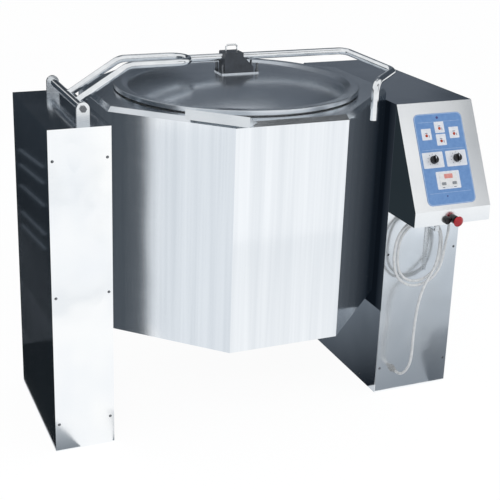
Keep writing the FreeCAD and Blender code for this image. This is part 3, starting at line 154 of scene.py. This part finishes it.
def turned_metal(name, dark, light, roughness):
    """Turned and tumbled metal: a soft mirror with a cloudy bloom, 3 mm across."""
    material, tree = new_material(name)
    bloom = grain(tree, (3, 3, 3), 4)
    tool = add_node(tree, "ShaderNodeBump", {"Distance": 0.00002}, {"Height": bloom})
    return surfaced(material, dark, light, bloom, (roughness * 0.8, roughness * 1.3), bloom,
                    {"Metallic": 1.0}, {"Normal": tool.outputs["Normal"]})


screw_steel = turned_metal("tumbled_stainless_screw", "#585b5f", "#8a8d91", 0.35)
dress(screw_steel, "left_cover_screws", "right_cover_screws", "right_side_screws",
      "left_bearing_bolts", "right_bearing_bolts", "kettle_floor_screws", "hinge_pins",
      "lid_studs")

# Bearings and drive

# Cast bearing housings and a worm gearbox with its motor, in machine grey paint. The
# kettle hangs in them by two turned trunnions, and the motor turns it forwards to pour.


def painted_casting(name, dark, light):
    """Sand-cast iron under machine enamel: pebbled, satin, darker in patches."""
    material, tree = new_material(name)
    patch = grain(tree, (40, 40, 40), 3)
    pebble = add_node(tree, "ShaderNodeBump", {"Distance": 0.00012},
                      {"Height": grain(tree, (1.5, 1.5, 1.5), 3)})
    return surfaced(material, dark, light, patch, (0.38, 0.55), patch,
                    {"IOR": 1.5}, {"Normal": pebble.outputs["Normal"]})


casting = painted_casting("enamelled_grey_iron", "#4c5257", "#5d646a")
dress(casting, "left_bearing", "right_bearing", "tilt_gearbox")
motor_case = painted_casting("enamelled_motor_case", "#3d454d", "#4c555e")
dress(motor_case, "tilt_motor")
shaft_steel = turned_metal("turned_shaft_steel", "#8f9193", "#adafb1", 0.22)
dress(shaft_steel, "left_trunnion", "right_trunnion")

# Kettle casing

# Eight-sided cover of thin stainless sheet round the hot jacket. It is ground and then
# polished, so it mirrors the pillars beside it, drawn out up and down. A level deck and
# a pouring lip close it above, and a floor sheet is screwed on below.

# The casing's tone runs in upright streaks, 24 mm wide and 1.2 m tall.
upright_streaks = (24, 24, 1200)
casing_sheet = ground_stainless("polished_stainless_casing", "#e4e9ee", "#f2f6fa", 0.11, 0.15,
                                upright_streaks)
dress(casing_sheet, "kettle_casing")
floor_sheet = ground_stainless("ground_stainless_floor", "#a2a5a8", "#b9bcbf", 0.3)
dress(floor_sheet, "kettle_floor")


def level_stainless(name, dark, light, roughness):
    """Level stainless sheet: belt scratches from left to right, drawn 2 mm apart to show."""
    material, tree = new_material(name)
    scratch = grain(tree, (70, 2, 2), 3)
    belt = add_node(tree, "ShaderNodeBump", {"Distance": scratch_depth}, {"Height": scratch})
    return surfaced(material, dark, light, grain(tree, (240, 160, 200)),
                    (roughness * 0.9, roughness * 1.1), scratch,
                    {"Metallic": 1.0}, {"Normal": belt.outputs["Normal"]})


deck_sheet = level_stainless("ground_stainless_deck", "#cfd5db", "#e2e7ec", 0.2)
dress(deck_sheet, "kettle_deck")
lip_sheet = level_stainless("ground_stainless_lip", "#d5dade", "#e8ecef", 0.3)
dress(lip_sheet, "pouring_lip")

# Vessel, jacket and heaters

# The spun vessel with its welded jacket, the hairpin heaters in the jacket's sump and
# the brass valve that guards the steam.

vessel_axis_x = -0.0455
ring_scale, ring_depth = 63.0, 0.0000002


def spun_stainless(name, dark, light, roughness):
    """Spun stainless: faint tool rings round the vessel's axis, 5 mm apart so that they
    show, and a satin mirror. A ring texture of scale 1 has its rings 314 mm apart."""
    material, tree = new_material(name)
    place = add_node(tree, "ShaderNodeTexCoord")
    centred = add_node(tree, "ShaderNodeMapping", {"Location": (-vessel_axis_x, 0, 0)},
                       {"Vector": place.outputs["Object"]})
    rings = add_node(tree, "ShaderNodeTexWave",
                     {"wave_type": "RINGS", "rings_direction": "Z", "Scale": ring_scale,
                      "Distortion": 2.0, "Detail": 3.0, "Detail Scale": 0.5},
                     {"Vector": centred.outputs["Vector"]})
    tool = add_node(tree, "ShaderNodeBump", {"Distance": ring_depth},
                    {"Height": rings.outputs["Fac"]})
    return surfaced(material, dark, light, grain(tree, (180, 180, 180), 3),
                    (roughness * 0.96, roughness * 1.04), rings.outputs["Fac"],
                    {"Metallic": 1.0}, {"Normal": tool.outputs["Normal"]})


vessel_steel = spun_stainless("spun_stainless_vessel", "#b4b7b9", "#caccce", 0.28)
dress(vessel_steel, "inner_vessel", "steam_jacket", "left_trunnion_bracket",
      "right_trunnion_bracket")
heater_tube = turned_metal("heat_tinted_tube", "#5d5048", "#7a6f69", 0.4)
dress(heater_tube, "heating_elements")
valve_brass = turned_metal("turned_brass", "#a9843f", "#c8a35c", 0.3)
dress(valve_brass, "safety_valve")

# Lid

# A spun stainless disc with a stepped rim, on a soft silicone ring that seals it to
# the vessel. The arm's foot and studs sit on its crown.

lid_steel = spun_stainless("spun_stainless_lid", "#c6ccd3", "#dae0e6", 0.24)
dress(lid_steel, "lid_shell")
foot_steel = level_stainless("ground_stainless_foot", "#c9ced3", "#dde1e5", 0.25)
dress(foot_steel, "lid_foot")


def silicone(name, dark, light):
    """Moulded silicone rubber: smooth, a little waxy."""
    material, tree = new_material(name)
    cloud = grain(tree, (25, 25, 25), 3)
    return surfaced(material, dark, light, cloud, (0.4, 0.55), cloud,
                    {"IOR": 1.43, "Subsurface Weight": 0.05}, {})


seal_rubber = silicone("moulded_silicone", "#c2c1bb", "#d2d1cc")
dress(seal_rubber, "lid_seal")

# Lid arm

# Round stainless tube, bent and polished bright. A two-legged loop rises from the hinge
# shaft, and one long tube runs on over the lid, through a machined block, to the grip.
# The shaft turns on pins in two lugs that are cut from plate and stand on the left pillar.


def bright_tube():
    """Mirror-polished stainless tube: a sharp mirror with a few handling smears."""
    material, tree = new_material("mirror_polished_tube")
    smear = grain(tree, (35, 35, 35), 4)
    buff = add_node(tree, "ShaderNodeBump", {"Distance": scratch_depth},
                    {"Height": grain(tree, (0.7, 0.7, 0.7))})
    return surfaced(material, "#dde1e5", "#f0f3f5", smear, (0.06, 0.16), smear,
                    {"Metallic": 1.0}, {"Normal": buff.outputs["Normal"]})


tube_steel = bright_tube()
dress(tube_steel, "hinge_shaft", "lid_loop", "lid_bar", "lid_wire_handle")
plate_steel = level_stainless("cut_stainless_plate", "#dfe3e6", "#eef1f3", 0.28)
dress(plate_steel, "hinge_lug_front", "hinge_lug_rear")
# The block's blackening is satin and faintly pebbled, as the castings' enamel is.
block_iron = painted_casting("blackened_machined_block", "#30343a", "#474c53")
dress(block_iron, "lid_clamp_block")

# Console

# A folded stainless wedge on the pillar's front with a printed film on its slope, two
# selector knobs, lamps behind clear lenses and a red mushroom stop button.

console_sheet = ground_stainless("ground_stainless_console", "#edf0f3", "#f8fafb", 0.22, 0.3)
dress(console_sheet, "console_housing")


def moulded(name, dark, light, roughness, pitch=0.8):
    """Plastic that took a fine eroded texture from its mould or roller, pitch millimetres
    apart, and is a little darker and smoother where hands rub it."""
    material, tree = new_material(name)
    handling = grain(tree, (12, 12, 12), 3)
    texture = add_node(tree, "ShaderNodeBump", {"Distance": 0.00003},
                       {"Height": grain(tree, (pitch, pitch, pitch))})
    return surfaced(material, dark, light, handling, (roughness * 0.85, roughness * 1.2),
                    handling, {"IOR": 1.49}, {"Normal": texture.outputs["Normal"]})


film = moulded("printed_polyester_film", "#668fc6", "#769dd0", 0.4, 0.5)
dress(film, "control_panel")
knob_plastic = moulded("moulded_black_nylon", "#101114", "#1c1d21", 0.4)
dress(knob_plastic, "left_selector_knob", "right_selector_knob", "knob_collars",
      "stop_button_body", "alarm_buzzer")
stop_plastic = moulded("moulded_red_acetal", "#a8202a", "#bf3039", 0.28)
dress(stop_plastic, "stop_button_head")
lens_plastic = moulded("clear_red_lens", "#a8321f", "#d2562f", 0.15)
dress(lens_plastic, "lamp_lenses")
window_plastic = moulded("clear_display_window", "#e3e4e4", "#f1f1f1", 0.25)
dress(window_plastic, "display_window")

# Console prints

# The film's fields, lines and symbols, screen printed in thick ink, with the display's
# filter and keys and the knobs' lines. All lie square to the console's slope, and are
# placed across it and down from its top edge, in millimetres.

slope_top = Vector((0.546, -0.2, 1.0))
slope_down = Vector((0, -0.158, -0.304)).normalized()
slope_out = Vector((0, -0.304, 0.158)).normalized()
# How high the faces that carry them stand on the console's sheet, and the ink on a face.
film_face, window_face, knob_face = 1.0, 2.5, 21.3
ink = 0.12
corner_steps = 5


def slope_point(across, down, lift):
    """A point on the slope, lift millimetres above the console's sheet."""
    return slope_top + (Vector((across, 0, 0)) + slope_down * down + slope_out * lift) / 1000


def rounded_outline(across, down, width, length, corner):
    """Points round a rectangle with round corners, as across and down."""
    points = []
    for side, low, start in ((1, 1, 0), (-1, 1, 90), (-1, -1, 180), (1, -1, 270)):
        for step in range(corner_steps + 1):
            angle = math.radians(start + 90 * step / corner_steps)
            points.append((across + side * (width / 2 - corner) + corner * math.cos(angle),
                           down + low * (length / 2 - corner) + corner * math.sin(angle)))
    return points


def printed(name, shapes, material, lift=film_face, thickness=ink, body="frame"):
    """Flat fields of ink or film, one closed outline each or an outer and an inner one. They
    lie lift millimetres up, and are thickness millimetres thick."""
    shape = bmesh.new()
    for outer, inner in shapes:
        low, high = [[[shape.verts.new(slope_point(x, y, height)) for x, y in points]
                      for points in (outer, inner) if points]
                     for height in (lift, lift + thickness)]
        for under, over in zip(low, high):
            for i in range(len(under)):
                j = (i + 1) % len(under)
                shape.faces.new((under[i], under[j], over[j], over[i]))
        if inner:
            for i in range(len(outer)):
                j = (i + 1) % len(outer)
                for level in (low, high):
                    shape.faces.new((level[0][i], level[0][j], level[1][j], level[1][i]))
        else:
            shape.faces.new(low[0])
            shape.faces.new(high[0])
    bmesh.ops.recalc_face_normals(shape, faces=shape.faces)
    mesh = bpy.data.meshes.new(name)
    shape.to_mesh(mesh)
    shape.free()
    piece = bpy.data.objects.new(name, mesh)
    bpy.context.scene.collection.objects.link(piece)
    mesh.materials.append(material)
    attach(piece, body)


def field(across, down, width, length, corner=2.0):
    """A filled rectangle with round corners."""
    return rounded_outline(across, down, width, length, corner), None


def border(across, down, width, length, corner, line):
    """A line of one width round a rectangle with round corners."""
    inner = rounded_outline(across, down, width - 2 * line, length - 2 * line, corner - line)
    return rounded_outline(across, down, width, length, corner), inner


def dial(across, down, reach, marks, dot=2.2):
    """Small dots on a circle round a knob, over the three quarters that it turns through."""
    dots = []
    for mark in range(marks):
        angle = math.radians(-135 + 270 * mark / (marks - 1))
        dots.append(field(across + reach * math.sin(angle), down - reach * math.cos(angle),
                          dot, dot, 1.0))
    return dots


def screen_ink(name, dark, light):
    """Screen printing ink: matt and thick, with the marks of the screen's mesh in its face."""
    return moulded(name, dark, light, 0.5, 0.4)


white_ink = screen_ink("screen_printed_white_ink", "#dfe3ea", "#f2f4f8")
pale_ink = screen_ink("screen_printed_pale_blue_ink", "#a9c2e2", "#bcd0ea")
dark_ink = screen_ink("screen_printed_dark_ink", "#2a3350", "#3a4566")
lamp_spots = ((0, 86), (-50, 106), (50, 106), (0, 126))
knob_spots = ((-42, 184), (42, 184))
printed("film_white_fields",
        [field(x, y - 4, 35, 36) for x, y in lamp_spots]
        + [field(x, y, 74, 50, 3) for x, y in knob_spots] + [field(0, 250, 84, 56, 3)],
        white_ink)
printed("film_edge_line", [border(0, 182, 171, 287, 16.5, 1.6)], pale_ink)
printed("film_lines", [field(0, down, 150, 0.9, 0.4) for down in (64, 289, 152)],
        pale_ink)
symbols = [field(x, y - 8, 9, 1.8, 0.6) for x, y in lamp_spots]
symbols += [field(x + 8.5, y + 2, 1.8, 8, 0.6) for x, y in lamp_spots]
for x, y in knob_spots:
    symbols += dial(x, y, 19, 9)
symbols += [field(x, 273, 9, 1.8, 0.6) for x in (-21, 21)]
printed("film_symbols", symbols, dark_ink, film_face + ink)

# The small service lamp above the fields and the film's lower sensor dot.
dot_plastic = moulded("smoked_violet_lens", "#3b3566", "#55508a", 0.2)
printed("film_dots", [field(-3, 51, 8, 8, 3.9), field(-13, 300, 4, 4, 1.9)], dot_plastic,
        film_face, 0.8)

# The display and its two rubber keys stand on the window, the pointer lines on the knobs.
segment_plastic = moulded("lit_red_filter", "#d8867f", "#ea9f97", 0.2)
printed("display_filter", [field(1, 238, 30, 14, 1.5)], segment_plastic,
        window_face, 0.6)
key_rubber = moulded("moulded_grey_key", "#7f8489", "#9a9ea2", 0.5)
printed("display_keys", [field(x, 261, 15, 9, 2) for x in (-19, 19)], key_rubber,
        window_face, 1.2)
for side, across in (("left", -42), ("right", 42)):
    printed(side + "_pointer_line", [field(across, 178, 1.6, 9, 0.7)], white_ink,
            knob_face, 0.1, side + "_knob")

# Cord

# A round flex with a white rubber jacket. It leaves the console's gland, hangs in two
# loose turns on the strap hook, and runs down the pillar into the lower gland.

dress(plate_steel, "cord_hook")
gland_plastic = moulded("moulded_grey_nylon", "#9a9c9d", "#b1b3b4", 0.45)
dress(gland_plastic, "console_gland", "pillar_gland")

cord_width = 0.009
coil_side, coil_front, coil_middle = 0.515, -0.236, 0.513
coil_bend, coil_straight = 0.089, 0.022
coil_turns, turn_points = 2, 16
lead_route = [(0.600, -0.264, 0.620), (0.600, -0.264, 0.580), (0.602, -0.252, 0.545)]
tail_route = [(0.588, -0.237, 0.474), (0.565, -0.244, 0.436), (0.533, -0.256, 0.402),
              (0.508, -0.270, 0.358), (0.494, -0.281, 0.308), (0.487, -0.287, 0.254),
              (0.486, -0.289, 0.200), (0.485, -0.288, 0.152), (0.480, -0.276, 0.112),
              (0.468, -0.256, 0.085), (0.468, -0.228, 0.085)]

# How far the strands stand outward and backward of a true oval, in millimetres, from the
# start of the first turn to the end of the last.
strands_outward = [5, 7, 8, 4, 0, -6, -9, -6, -6]
strands_backward = [-2, -3, -3, 3, 7, 5, 3, 0, -1]


def rubber_jacket():
    """White extruded rubber: dull, with faint handling marks and a fine orange peel."""
    material, tree = new_material("extruded_white_rubber")
    marks = grain(tree, (9, 9, 14), 4)
    peel = add_node(tree, "ShaderNodeBump", {"Distance": 0.00004},
                    {"Height": grain(tree, (0.8, 0.8, 0.8))})
    return surfaced(material, "#d3d6d8", "#f1f2f2", marks, (0.42, 0.58), marks,
                    {"IOR": 1.52}, {"Normal": peel.outputs["Normal"]})


def between(stations, share):
    """A value read from evenly spaced stations, eased between them."""
    place = share * (len(stations) - 1)
    step = min(int(place), len(stations) - 2)
    part = place - step
    eased = part * part * (3 - 2 * part)
    return stations[step] * (1 - eased) + stations[step + 1] * eased


def coil_route():
    """Clockwise turns from the right side, each turn's strands kept beside the other's. The
    upper halves are lifted and the lower ones dropped, which leaves straight sides."""
    points = []
    for i in range(coil_turns * turn_points + 1):
        turn = -2 * math.pi * i / turn_points
        share = i / (coil_turns * turn_points)
        bend = coil_bend + between(strands_outward, share) / 1000
        lift = coil_straight * math.tanh(3 * math.sin(turn))
        points.append((coil_side + bend * math.cos(turn),
                       coil_front + between(strands_backward, share) / 1000,
                       coil_middle + lift + bend * math.sin(turn)))
    return points


def round_flex():
    """The cord as one smooth spline through its given route."""
    route = lead_route + coil_route()[:-1] + tail_route
    curve = bpy.data.curves.new("mains_flex", "CURVE")
    curve.dimensions = "3D"
    spline = curve.splines.new("NURBS")
    spline.points.add(len(route) - 1)
    for point, place in zip(spline.points, route):
        point.co = (*place, 1)
    spline.order_u = 3
    spline.use_endpoint_u = True
    curve.resolution_u = 8
    curve.bevel_depth = cord_width / 2
    curve.bevel_resolution = 5
    piece = bpy.data.objects.new("mains_flex", curve)
    bpy.context.scene.collection.objects.link(piece)
    piece.data.materials.append(rubber_jacket())
    return piece


flex = round_flex()
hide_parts("cord_lead", "cord_coil", "cord_tail")
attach(flex, "frame")

# Camera

# A long lens stands in front of the machine, to its left and above its rim, and looks
# down on it. The sensor is shifted a little, as the photograph's frame is off its axis.

camera_place = (-1.3011, -3.0096, 1.7688)
camera_yaw = math.radians(22.9)
camera_pitch = math.radians(18.6)
camera_roll = math.radians(1.7)
camera = bpy.data.objects.new("camera", bpy.data.cameras.new("camera"))
bpy.context.scene.collection.objects.link(camera)
camera.matrix_world = (Matrix.Translation(camera_place)
                       @ Matrix.Rotation(-camera_yaw, 4, "Z")
                       @ Matrix.Rotation(math.pi / 2 - camera_pitch, 4, "X")
                       @ Matrix.Rotation(camera_roll, 4, "Z"))
camera.data.sensor_width = 36
camera.data.lens = 77.6
camera.data.shift_x = 0.025
camera.data.shift_y = -0.1
bpy.context.scene.camera = camera
bpy.context.scene.view_settings.view_transform = "Standard"

# Studio

# A pale floor in front of a white background, and two soft lamps in front and above.
# Pale and dark cards that only polished steel sees stand round the machine, as a studio
# sets them round bright metal.

white = (1, 1, 1, 1)
mirror_white = (0.94, 0.94, 0.94, 1)
paper_glow = 0.9


def floor_material():
    """Pale paper: it takes the machine's shadow, and shows white to eye, metal and glass.
    They see mostly its glow, and a tenth of what the lamps make of it."""
    material, tree = new_material("pale_studio_paper")
    paper = add_node(tree, "ShaderNodeMix",
                     {"data_type": "RGBA", first_colour: linear("#ececec"),
                      second_colour: linear("#f4f4f4")},
                     {mix_share: grain(tree, (1.5, 1.5, 1.5), 3)})
    matt = add_node(tree, "ShaderNodeBsdfPrincipled", {"Roughness": 0.9},
                    {"Base Color": paper.outputs[mixed_colour]})
    glow = add_node(tree, "ShaderNodeEmission", {"Strength": 1.05})
    path = add_node(tree, "ShaderNodeLightPath")
    seen = add_node(tree, "ShaderNodeMath", {"operation": "MAXIMUM"},
                    {0: path.outputs["Is Camera Ray"], 1: path.outputs["Is Glossy Ray"]})
    shown = add_node(tree, "ShaderNodeMath", {"operation": "MAXIMUM"},
                     {0: seen.outputs["Value"], 1: path.outputs["Is Transmission Ray"]})
    share = add_node(tree, "ShaderNodeMath", {"operation": "MULTIPLY", 1: paper_glow},
                     {0: shown.outputs["Value"]})
    whole = add_node(tree, "ShaderNodeMixShader", {},
                     {0: share.outputs["Value"], 1: matt.outputs["BSDF"],
                      2: glow.outputs["Emission"]})
    add_node(tree, "ShaderNodeOutputMaterial", {}, {"Surface": whole.outputs["Shader"]})
    material.cycles.emission_sampling = "NONE"
    return material


def studio_floor(half):
    """A square of paper, half metres to each side, just under the base plates."""
    shape = bmesh.new()
    bmesh.ops.create_grid(shape, x_segments=8, y_segments=8, size=half)
    mesh = bpy.data.meshes.new("studio_floor")
    shape.to_mesh(mesh)
    shape.free()
    piece = bpy.data.objects.new("studio_floor", mesh)
    bpy.context.scene.collection.objects.link(piece)
    piece.location.z = -0.0005
    mesh.materials.append(floor_material())


def studio_sky():
    """White to the eye and to metal that looks forwards. Metal that looks backwards sees a
    drape: darkest low down, lighter above and right of the middle, dark again on the far
    right, and open on the far left. The pattern runs over each direction's unit vector: x to
    the right, y backwards, z up."""
    world = bpy.data.worlds.new("studio")
    bpy.context.scene.world = world
    world.use_nodes = True
    world.cycles.sampling_method = "NONE"
    tree = world.node_tree
    tree.nodes.clear()
    heading = add_node(tree, "ShaderNodeTexCoord")
    split = add_node(tree, "ShaderNodeSeparateXYZ", {},
                     {"Vector": heading.outputs["Generated"]})
    edges = {}
    for name, axis, start, end, ease in (("behind", "Y", 0.0, 0.35, "SMOOTHSTEP"),
                                         ("aside", "X", 0.235, 0.31, "SMOOTHSTEP"),
                                         ("above", "Z", 0.28, 0.45, "LINEAR"),
                                         ("flank", "X", -0.22, -0.05, "SMOOTHSTEP"),
                                         ("right", "X", 0.52, 0.56, "SMOOTHSTEP")):
        edges[name] = add_node(tree, "ShaderNodeMapRange",
                               {"From Min": start, "From Max": end, "interpolation_type": ease},
                               {"Value": split.outputs[axis]}).outputs["Result"]
    lighter = add_node(tree, "ShaderNodeMath", {"operation": "MAXIMUM"},
                       {0: edges["aside"], 1: edges["above"]})
    back = add_node(tree, "ShaderNodeMath", {"operation": "MULTIPLY"},
                    {0: edges["behind"], 1: edges["flank"]})
    drape = add_node(tree, "ShaderNodeMix",
                     {"data_type": "RGBA", first_colour: linear("#33393f"),
                      second_colour: linear("#6a7078")},
                     {mix_share: lighter.outputs["Value"]})
    whole_drape = add_node(tree, "ShaderNodeMix",
                           {"data_type": "RGBA", second_colour: linear("#474e56")},
                           {mix_share: edges["right"], first_colour: drape.outputs[mixed_colour]})
    mirrored = add_node(tree, "ShaderNodeMix",
                        {"data_type": "RGBA", first_colour: mirror_white},
                        {mix_share: back.outputs["Value"],
                         second_colour: whole_drape.outputs[mixed_colour]})
    path = add_node(tree, "ShaderNodeLightPath")
    metal = add_node(tree, "ShaderNodeBackground", {"Strength": 1.0},
                     {"Color": mirrored.outputs[mixed_colour]})
    fill = add_node(tree, "ShaderNodeBackground",
                    {"Color": linear("#f2f5f9"), "Strength": 0.55})
    plain = add_node(tree, "ShaderNodeBackground", {"Color": white, "Strength": 1.0})
    lit = add_node(tree, "ShaderNodeMixShader", {},
                   {0: path.outputs["Is Glossy Ray"], 1: fill.outputs["Background"],
                    2: metal.outputs["Background"]})
    whole = add_node(tree, "ShaderNodeMixShader", {},
                     {0: path.outputs["Is Camera Ray"], 1: lit.outputs["Shader"],
                      2: plain.outputs["Background"]})
    add_node(tree, "ShaderNodeOutputWorld", {}, {"Surface": whole.outputs["Shader"]})


def studio_card(name, corners, shade, far_shade=None, axis="Y"):
    """A card that only mirrors see, of one shade or fading to another along an axis."""
    material, tree = new_material(name + "_cloth")
    place = add_node(tree, "ShaderNodeTexCoord")
    split = add_node(tree, "ShaderNodeSeparateXYZ", {}, {"Vector": place.outputs["Generated"]})
    fading = add_node(tree, "ShaderNodeMix",
                      {"data_type": "RGBA", first_colour: linear(shade),
                       second_colour: linear(far_shade or shade)},
                      {mix_share: split.outputs[axis]})
    glow = add_node(tree, "ShaderNodeEmission", {"Strength": 1.0},
                    {"Color": fading.outputs[mixed_colour]})
    add_node(tree, "ShaderNodeOutputMaterial", {}, {"Surface": glow.outputs["Emission"]})
    material.cycles.emission_sampling = "NONE"
    mesh = bpy.data.meshes.new(name)
    mesh.from_pydata(corners, [], [tuple(range(len(corners)))])
    mesh.materials.append(material)
    piece = bpy.data.objects.new(name, mesh)
    bpy.context.scene.collection.objects.link(piece)
    piece.visible_camera = False
    piece.visible_diffuse = False
    piece.visible_transmission = False
    piece.visible_shadow = False


def upright_card(name, x, front, back, foot, top, *fade):
    """A card that stands at one x and runs from front to back. Its fade is studio_card's."""
    studio_card(name, [(x, front, foot), (x, back, foot), (x, back, top), (x, front, top)],
                *fade)


def level_card(name, left, right, start, end, height, *fade):
    """A level card that runs from left to right and from start to end along y."""
    studio_card(name, [(left, start, height), (right, start, height), (right, end, height),
                       (left, end, height)], *fade)


def laid_card(name, outline, height, *fade):
    """A level card with an outline of its own."""
    studio_card(name, [(x, y, height) for x, y in outline], *fade)


def soft_lamp(name, place, aim, width, height, power):
    """A soft area lamp that polished metal doesn't mirror."""
    lamp = bpy.data.lights.new(name, "AREA")
    lamp.shape = "RECTANGLE"
    lamp.size = width
    lamp.size_y = height
    lamp.energy = power
    piece = bpy.data.objects.new(name, lamp)
    bpy.context.scene.collection.objects.link(piece)
    piece.location = place
    piece.rotation_euler = (Vector(aim) - Vector(place)).to_track_quat("-Z", "Y").to_euler()
    piece.visible_glossy = False


studio_floor(12)
studio_sky()

# The left pillar's side mirrors a dark wall and mat, with five paler rails. The rails
# slope, so that they look level from where the camera stands.
wall_x, wall_top = -1.0, 1.5
rail_x, rail_front, rail_back, rail_drop, rail_width = -0.71, -0.02, 0.34, 0.043, 0.01
upright_card("left_flag", wall_x, -0.24, 4, 0, wall_top, "#1d2227", "#454e57", "Z")
upright_card("left_edge_flag", wall_x, -0.425, -0.25, 0, wall_top, "#50565c")
for level, height in enumerate((0.535, 0.582, 0.672, 0.742, 0.792)):
    studio_card("left_band_%d" % level,
                [(rail_x, rail_front, height + rail_drop), (rail_x, rail_back, height),
                 (rail_x, rail_back, height + rail_width),
                 (rail_x, rail_front, height + rail_drop + rail_width)], "#5b636b")
level_card("left_mat", -1.0, -0.685, -0.25, 4, 0, "#1f2428")
level_card("left_paper", -4, -0.75, -0.5, -2.4, 0, "#ebeef1")

# Behind and under the machine, for the deck, the tubes and the pillars' inner sides.
level_card("rear_mat", -3.5, 0.75, 0.55, 6, 0, "#60656b")
level_card("under_mat", -0.5, 0.41, -0.15, 0.55, 0, "#20262d", "#858c93")

# In the gaps beside the kettle, for the casing's slanting facets, and on the console's side.
upright_card("left_gap_flag", -0.4995, -0.2, 0.1, 0.3, 1.02, "#50565c", "#42484f")
upright_card("right_gap_flag", 0.4085, -0.42, -0.16, 0.3, 1.0, "#7b8188", "#1d242c")
upright_card("right_gap_dark", 0.4085, -0.16, 0.15, 0.3, 1.0, "#141a21")
upright_card("console_side_flag", 0.4095, -0.46, -0.2, 0.5, 1.02, "#293136")

# In front on the right, for the right pillar's cover and the console's slope.
laid_card("right_paper", [(0.4, -0.21), (1.1, -1.8), (2.6, -1.8), (1.4, -0.21)], 0,
          "#dfe6ed", "#8d949c")
laid_card("right_mat", [(0.63, -0.21), (0.7, -0.38), (0.86, -0.55), (1.1, -0.55), (1.1, -0.21)],
          0.001, "#5c636b", "#8b929a", "X")
studio_card("right_scrim", [(1.6, -1.5, 1.1), (2.8, -1.5, 1.1), (2.8, -1.5, 2.8),
                            (1.95, -1.5, 2.8), (1.64, -1.5, 1.7)], "#898e94")

# In front on the left, for the casing's front facets and the left pillar's cover.
level_card("casing_paper", 0.0, 1.6, -2.1, -0.8, -0.0002, "#f7f8f9", "#ffffff")
laid_card("front_mat_left", [(-0.69, -0.205), (-0.605, -0.205), (-0.66, -0.4)], 0,
          "#c4c9ce", "#858b91")
laid_card("front_mat_right", [(-0.4, -0.205), (-0.505, -0.205), (-0.44, -0.4)], 0,
          "#c4c9ce", "#8f959b")
laid_card("front_strip", [(-0.6, -1.2), (-0.05, -1.3), (-0.05, -1.42), (-0.6, -1.35)], 0,
          "#e8ebee")
laid_card("far_strip", [(-0.6, -2.5), (0.2, -2.7), (0.2, -2.95), (-0.6, -2.8)], 0, "#e4e8eb")

# Overhead, for the deck's front edge and the domed lid.
level_card("front_ceiling", 0.5, 1.65, -1.95, -1.3, 2.6, "#12161a")
level_card("rear_ceiling", 0.0, 1.15, 1.0, 1.8, 3.5, "#f4f6f8")

lamp_aim = (0, 0, 0.6)
soft_lamp("key_lamp", (-1.6, -3.6, 3.4), lamp_aim, width=2.4, height=1.6, power=60)
soft_lamp("fill_lamp", (3.0, -2.4, 2.2), lamp_aim, width=1.6, height=1.6, power=20)
